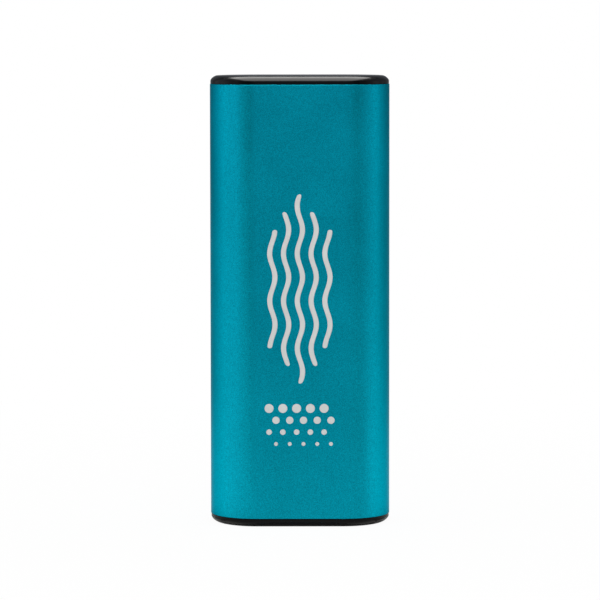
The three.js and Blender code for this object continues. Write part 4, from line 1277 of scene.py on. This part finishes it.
FINISHES: dict[str, Finish] = {
    # Anodised aluminium, bead-blasted: a satin metal with a tight sparkle; 0.17 mm specks are as fine as
    # the render can show, though real ones are finer.
    "teal_anodised": DyedAnodising(
        "bead_blasted_anodised_aluminium", "#059bb4", 0.36, metallic=1.0, grain=0.22, grain_height=0.012,
        mottle=14, colour_shift=0.03, roughness_shift=0.03,
    ),
    # ABS with a spark-eroded mould texture: deep black, satin, with a soft bloom on its rounded edge.
    "black_moulded": Finish(
        "spark_textured_black_abs", "#050506", 0.2, ior=1.54, specular=0.1, grain=0.12,
        grain_height=0.004, mottle=4, roughness_shift=0.04,
    ),
    # Glass-filled nylon, moulded: dull dark grey with faint flow marks.
    "grey_moulded": Finish(
        "glass_filled_nylon", "#3a3c3f", 0.55, ior=1.53, grain=0.2, grain_height=0.012, mottle=5,
        colour_shift=0.12, stretch=(1.0, 1.0, 0.4),
    ),
    # Zinc-plated steel sheet and screws: bright, slightly blue, with rolling marks.
    "zinc_steel": Finish(
        "zinc_plated_steel", "#b9bcc0", 0.32, metallic=1.0, grain=0.1, grain_height=0.004, mottle=2,
        colour_shift=0.1, roughness_shift=0.1, stretch=(1.0, 1.0, 0.15),
    ),
    # Nickel strip and cell end: warm bright metal.
    "nickel": Finish(
        "nickel_plate", "#c4bdb0", 0.26, metallic=1.0, grain=0.15, grain_height=0.003, mottle=3,
        stretch=(0.2, 1.0, 1.0),
    ),
    # PVC shrink sleeve on the cell: smooth, a little wavy from shrinking.
    "cell_wrap": Finish("pvc_shrink_wrap", "#2f6d4a", 0.3, ior=1.54, grain=1.8, grain_height=0.03, mottle=10),
    # Pressed fibre ring: dry, off-white, with short fibres.
    "ring_paper": Finish(
        "vulcanised_fibre", "#e3dfd2", 0.85, grain=0.25, grain_height=0.02, mottle=1.5, colour_shift=0.1,
        stretch=(1.0, 0.3, 1.0),
    ),
    # Rolled aluminium sheet: fine straight rolling lines up the plate.
    "bare_aluminium": Finish(
        "rolled_aluminium", "#c8cacc", 0.34, metallic=1.0, grain=0.12, grain_height=0.005, mottle=4,
        roughness_shift=0.08, stretch=(1.0, 1.0, 0.08),
    ),
    # Polyimide heater film: glossy amber with a slight ripple.
    "amber_film": Finish(
        "polyimide_film", "#b5651d", 0.22, ior=1.7, grain=1.2, grain_height=0.012, mottle=6,
        colour_shift=0.15,
    ),
    # Closed-cell polyethylene foam: soft white with open cells at its skin.
    "white_foam": CellularFoam("polyethylene_foam", "#dcdcd6", 0.9, grain=0.35, grain_height=0.08, mottle=3),
    # Circuit board: green solder mask over glass epoxy, copper under it.
    "green_board": SolderMask(
        "green_solder_mask", "#174a2e", 0.36, ior=1.55, grain=0.3, grain_height=0.03, mottle=5,
    ),
    # Moulded epoxy of chips, switch and sensor: matt black with a fine grain.
    "black_epoxy": Finish(
        "epoxy_moulding", "#17181a", 0.55, ior=1.55, grain=0.08, grain_height=0.006, mottle=1.5,
    ),
    # Sintered ferrite: dark grey-brown, slightly gritty.
    "ferrite": Finish(
        "sintered_ferrite", "#3b3a38", 0.6, ior=1.9, grain=0.1, grain_height=0.015, mottle=1,
        colour_shift=0.2,
    ),
    # Liquid-crystal polymer of the socket's tongue: clean white, satin.
    "white_insulator": Finish(
        "white_socket_polymer", "#e6e6e1", 0.42, ior=1.6, grain=0.15, grain_height=0.006, mottle=2,
        colour_shift=0.04,
    ),
    # Polycarbonate light pipe: water-clear with a soft skin.
    "clear_pipe": ClearPlastic(
        "clear_polycarbonate", "#f2f6f7", 0.12, ior=1.585, grain=0.6, grain_height=0.003, mottle=4,
        colour_shift=0.02,
    ),
    # Fired ceramic of the capacitor: tan, fine and dry.
    "tan_ceramic": Finish(
        "fired_ceramic", "#9c7a55", 0.5, ior=1.6, grain=0.06, grain_height=0.006, mottle=0.8,
        colour_shift=0.1,
    ),
    # Gold flash over nickel on the spring contacts.
    "gold_contact": Finish(
        "gold_flash", "#d8b25a", 0.24, metallic=1.0, grain=0.08, grain_height=0.002, mottle=1.5,
        stretch=(1.0, 1.0, 0.2),
    ),
    # Silicone rubber sleeving on the cell's lead: matt red.
    "red_sleeving": Finish(
        "red_silicone_sleeving", "#ad2020", 0.5, ior=1.42, grain=0.3, grain_height=0.01, mottle=3,
    ),
    # Silicone rubber sleeving on the heater's leads: matt white.
    "white_sleeving": Finish(
        "white_silicone_sleeving", "#d9d9d6", 0.55, ior=1.42, grain=0.3, grain_height=0.01, mottle=3,
    ),
    # Pad-printing ink: flat light grey with a faint orange-peel from drying.
    "printing_ink": Finish(
        "pad_printing_ink", "#c9cac9", 0.6, ior=1.48, specular=0.3, grain=0.25, grain_height=0.004,
        mottle=3, colour_shift=0.03,
    ),
}


# Putting it together


def in_millimetres(node: str) -> tuple[Vector, Vector]:
    """The lowest and highest corner of a CAD node, in millimetres."""
    low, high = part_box(node)
    return low / MM, high / MM


def middle_of(node: str) -> Point:
    """The middle of a CAD node across the width and depth, in millimetres."""
    low, high = in_millimetres(node)
    return ((low.x + high.x) / 2, (low.y + high.y) / 2)


def find_ports() -> PortLayout:
    """Read where the base's openings have to be from the pieces behind them.

    Returns:
        The layout of the openings.
    """
    outlet_low, outlet_high = in_millimetres("outlet_shell")
    inlet_low, inlet_high = in_millimetres("inlet_shell")
    flare_twice = 2 * PortLayout.inlet_flare
    light_row = middle_of("light_pipe")[1]
    return PortLayout(
        outlet_middle=((outlet_low.x + outlet_high.x) / 2, 0.0),
        outlet_size=(outlet_high.x - outlet_low.x, 2 * (REST_GAP - outlet_low.y)),
        inlet_middle=middle_of("inlet_shell"),
        inlet_size=(inlet_high.x - inlet_low.x - flare_twice, inlet_high.y - inlet_low.y - flare_twice),
        button_middle=middle_of("switch_plunger"),
        light_places=[(middle_of(f"charge_light_{number}")[0], light_row) for number in (1, 2, 3, 4)],
    )


def main() -> None:
    """Build every piece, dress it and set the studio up."""
    logging.basicConfig(level=logging.INFO, format="%(name)s: %(message)s")
    cad_low, cad_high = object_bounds()
    materials = {slot: finish.build() for slot, finish in FINISHES.items()}

    sleeve_low, sleeve_high = in_millimetres("sleeve")
    overall = in_millimetres("top_cap")[1].z
    oval = Oval(half_width=sleeve_high.x, half_depth=sleeve_high.y)
    sleeve = Sleeve(oval, bottom=sleeve_low.z + RIM_LAP, top=sleeve_high.z - RIM_LAP)
    ports = find_ports()
    caps = [EndCap(oval, End.TOP, overall), EndCap(oval, End.BASE, overall, ports)]
    stem_top = in_millimetres("power_button")[1].z
    button = PowerButton(ports.button_middle, stem_top, board=in_millimetres("main_board")[0])
    for part in (sleeve, *caps, button):
        part.build()
        part.dress(materials)
    design = PrintedDesign(front=sleeve_low.y)
    design.build(materials["printing_ink"])
    design.dress()
    InnerWorks(frame["nodes"], frame["record"]).dress(materials)

    Studio(target=(cad_low + cad_high) / 2, footprint=oval).build()


if __name__ == "__main__":
    main()
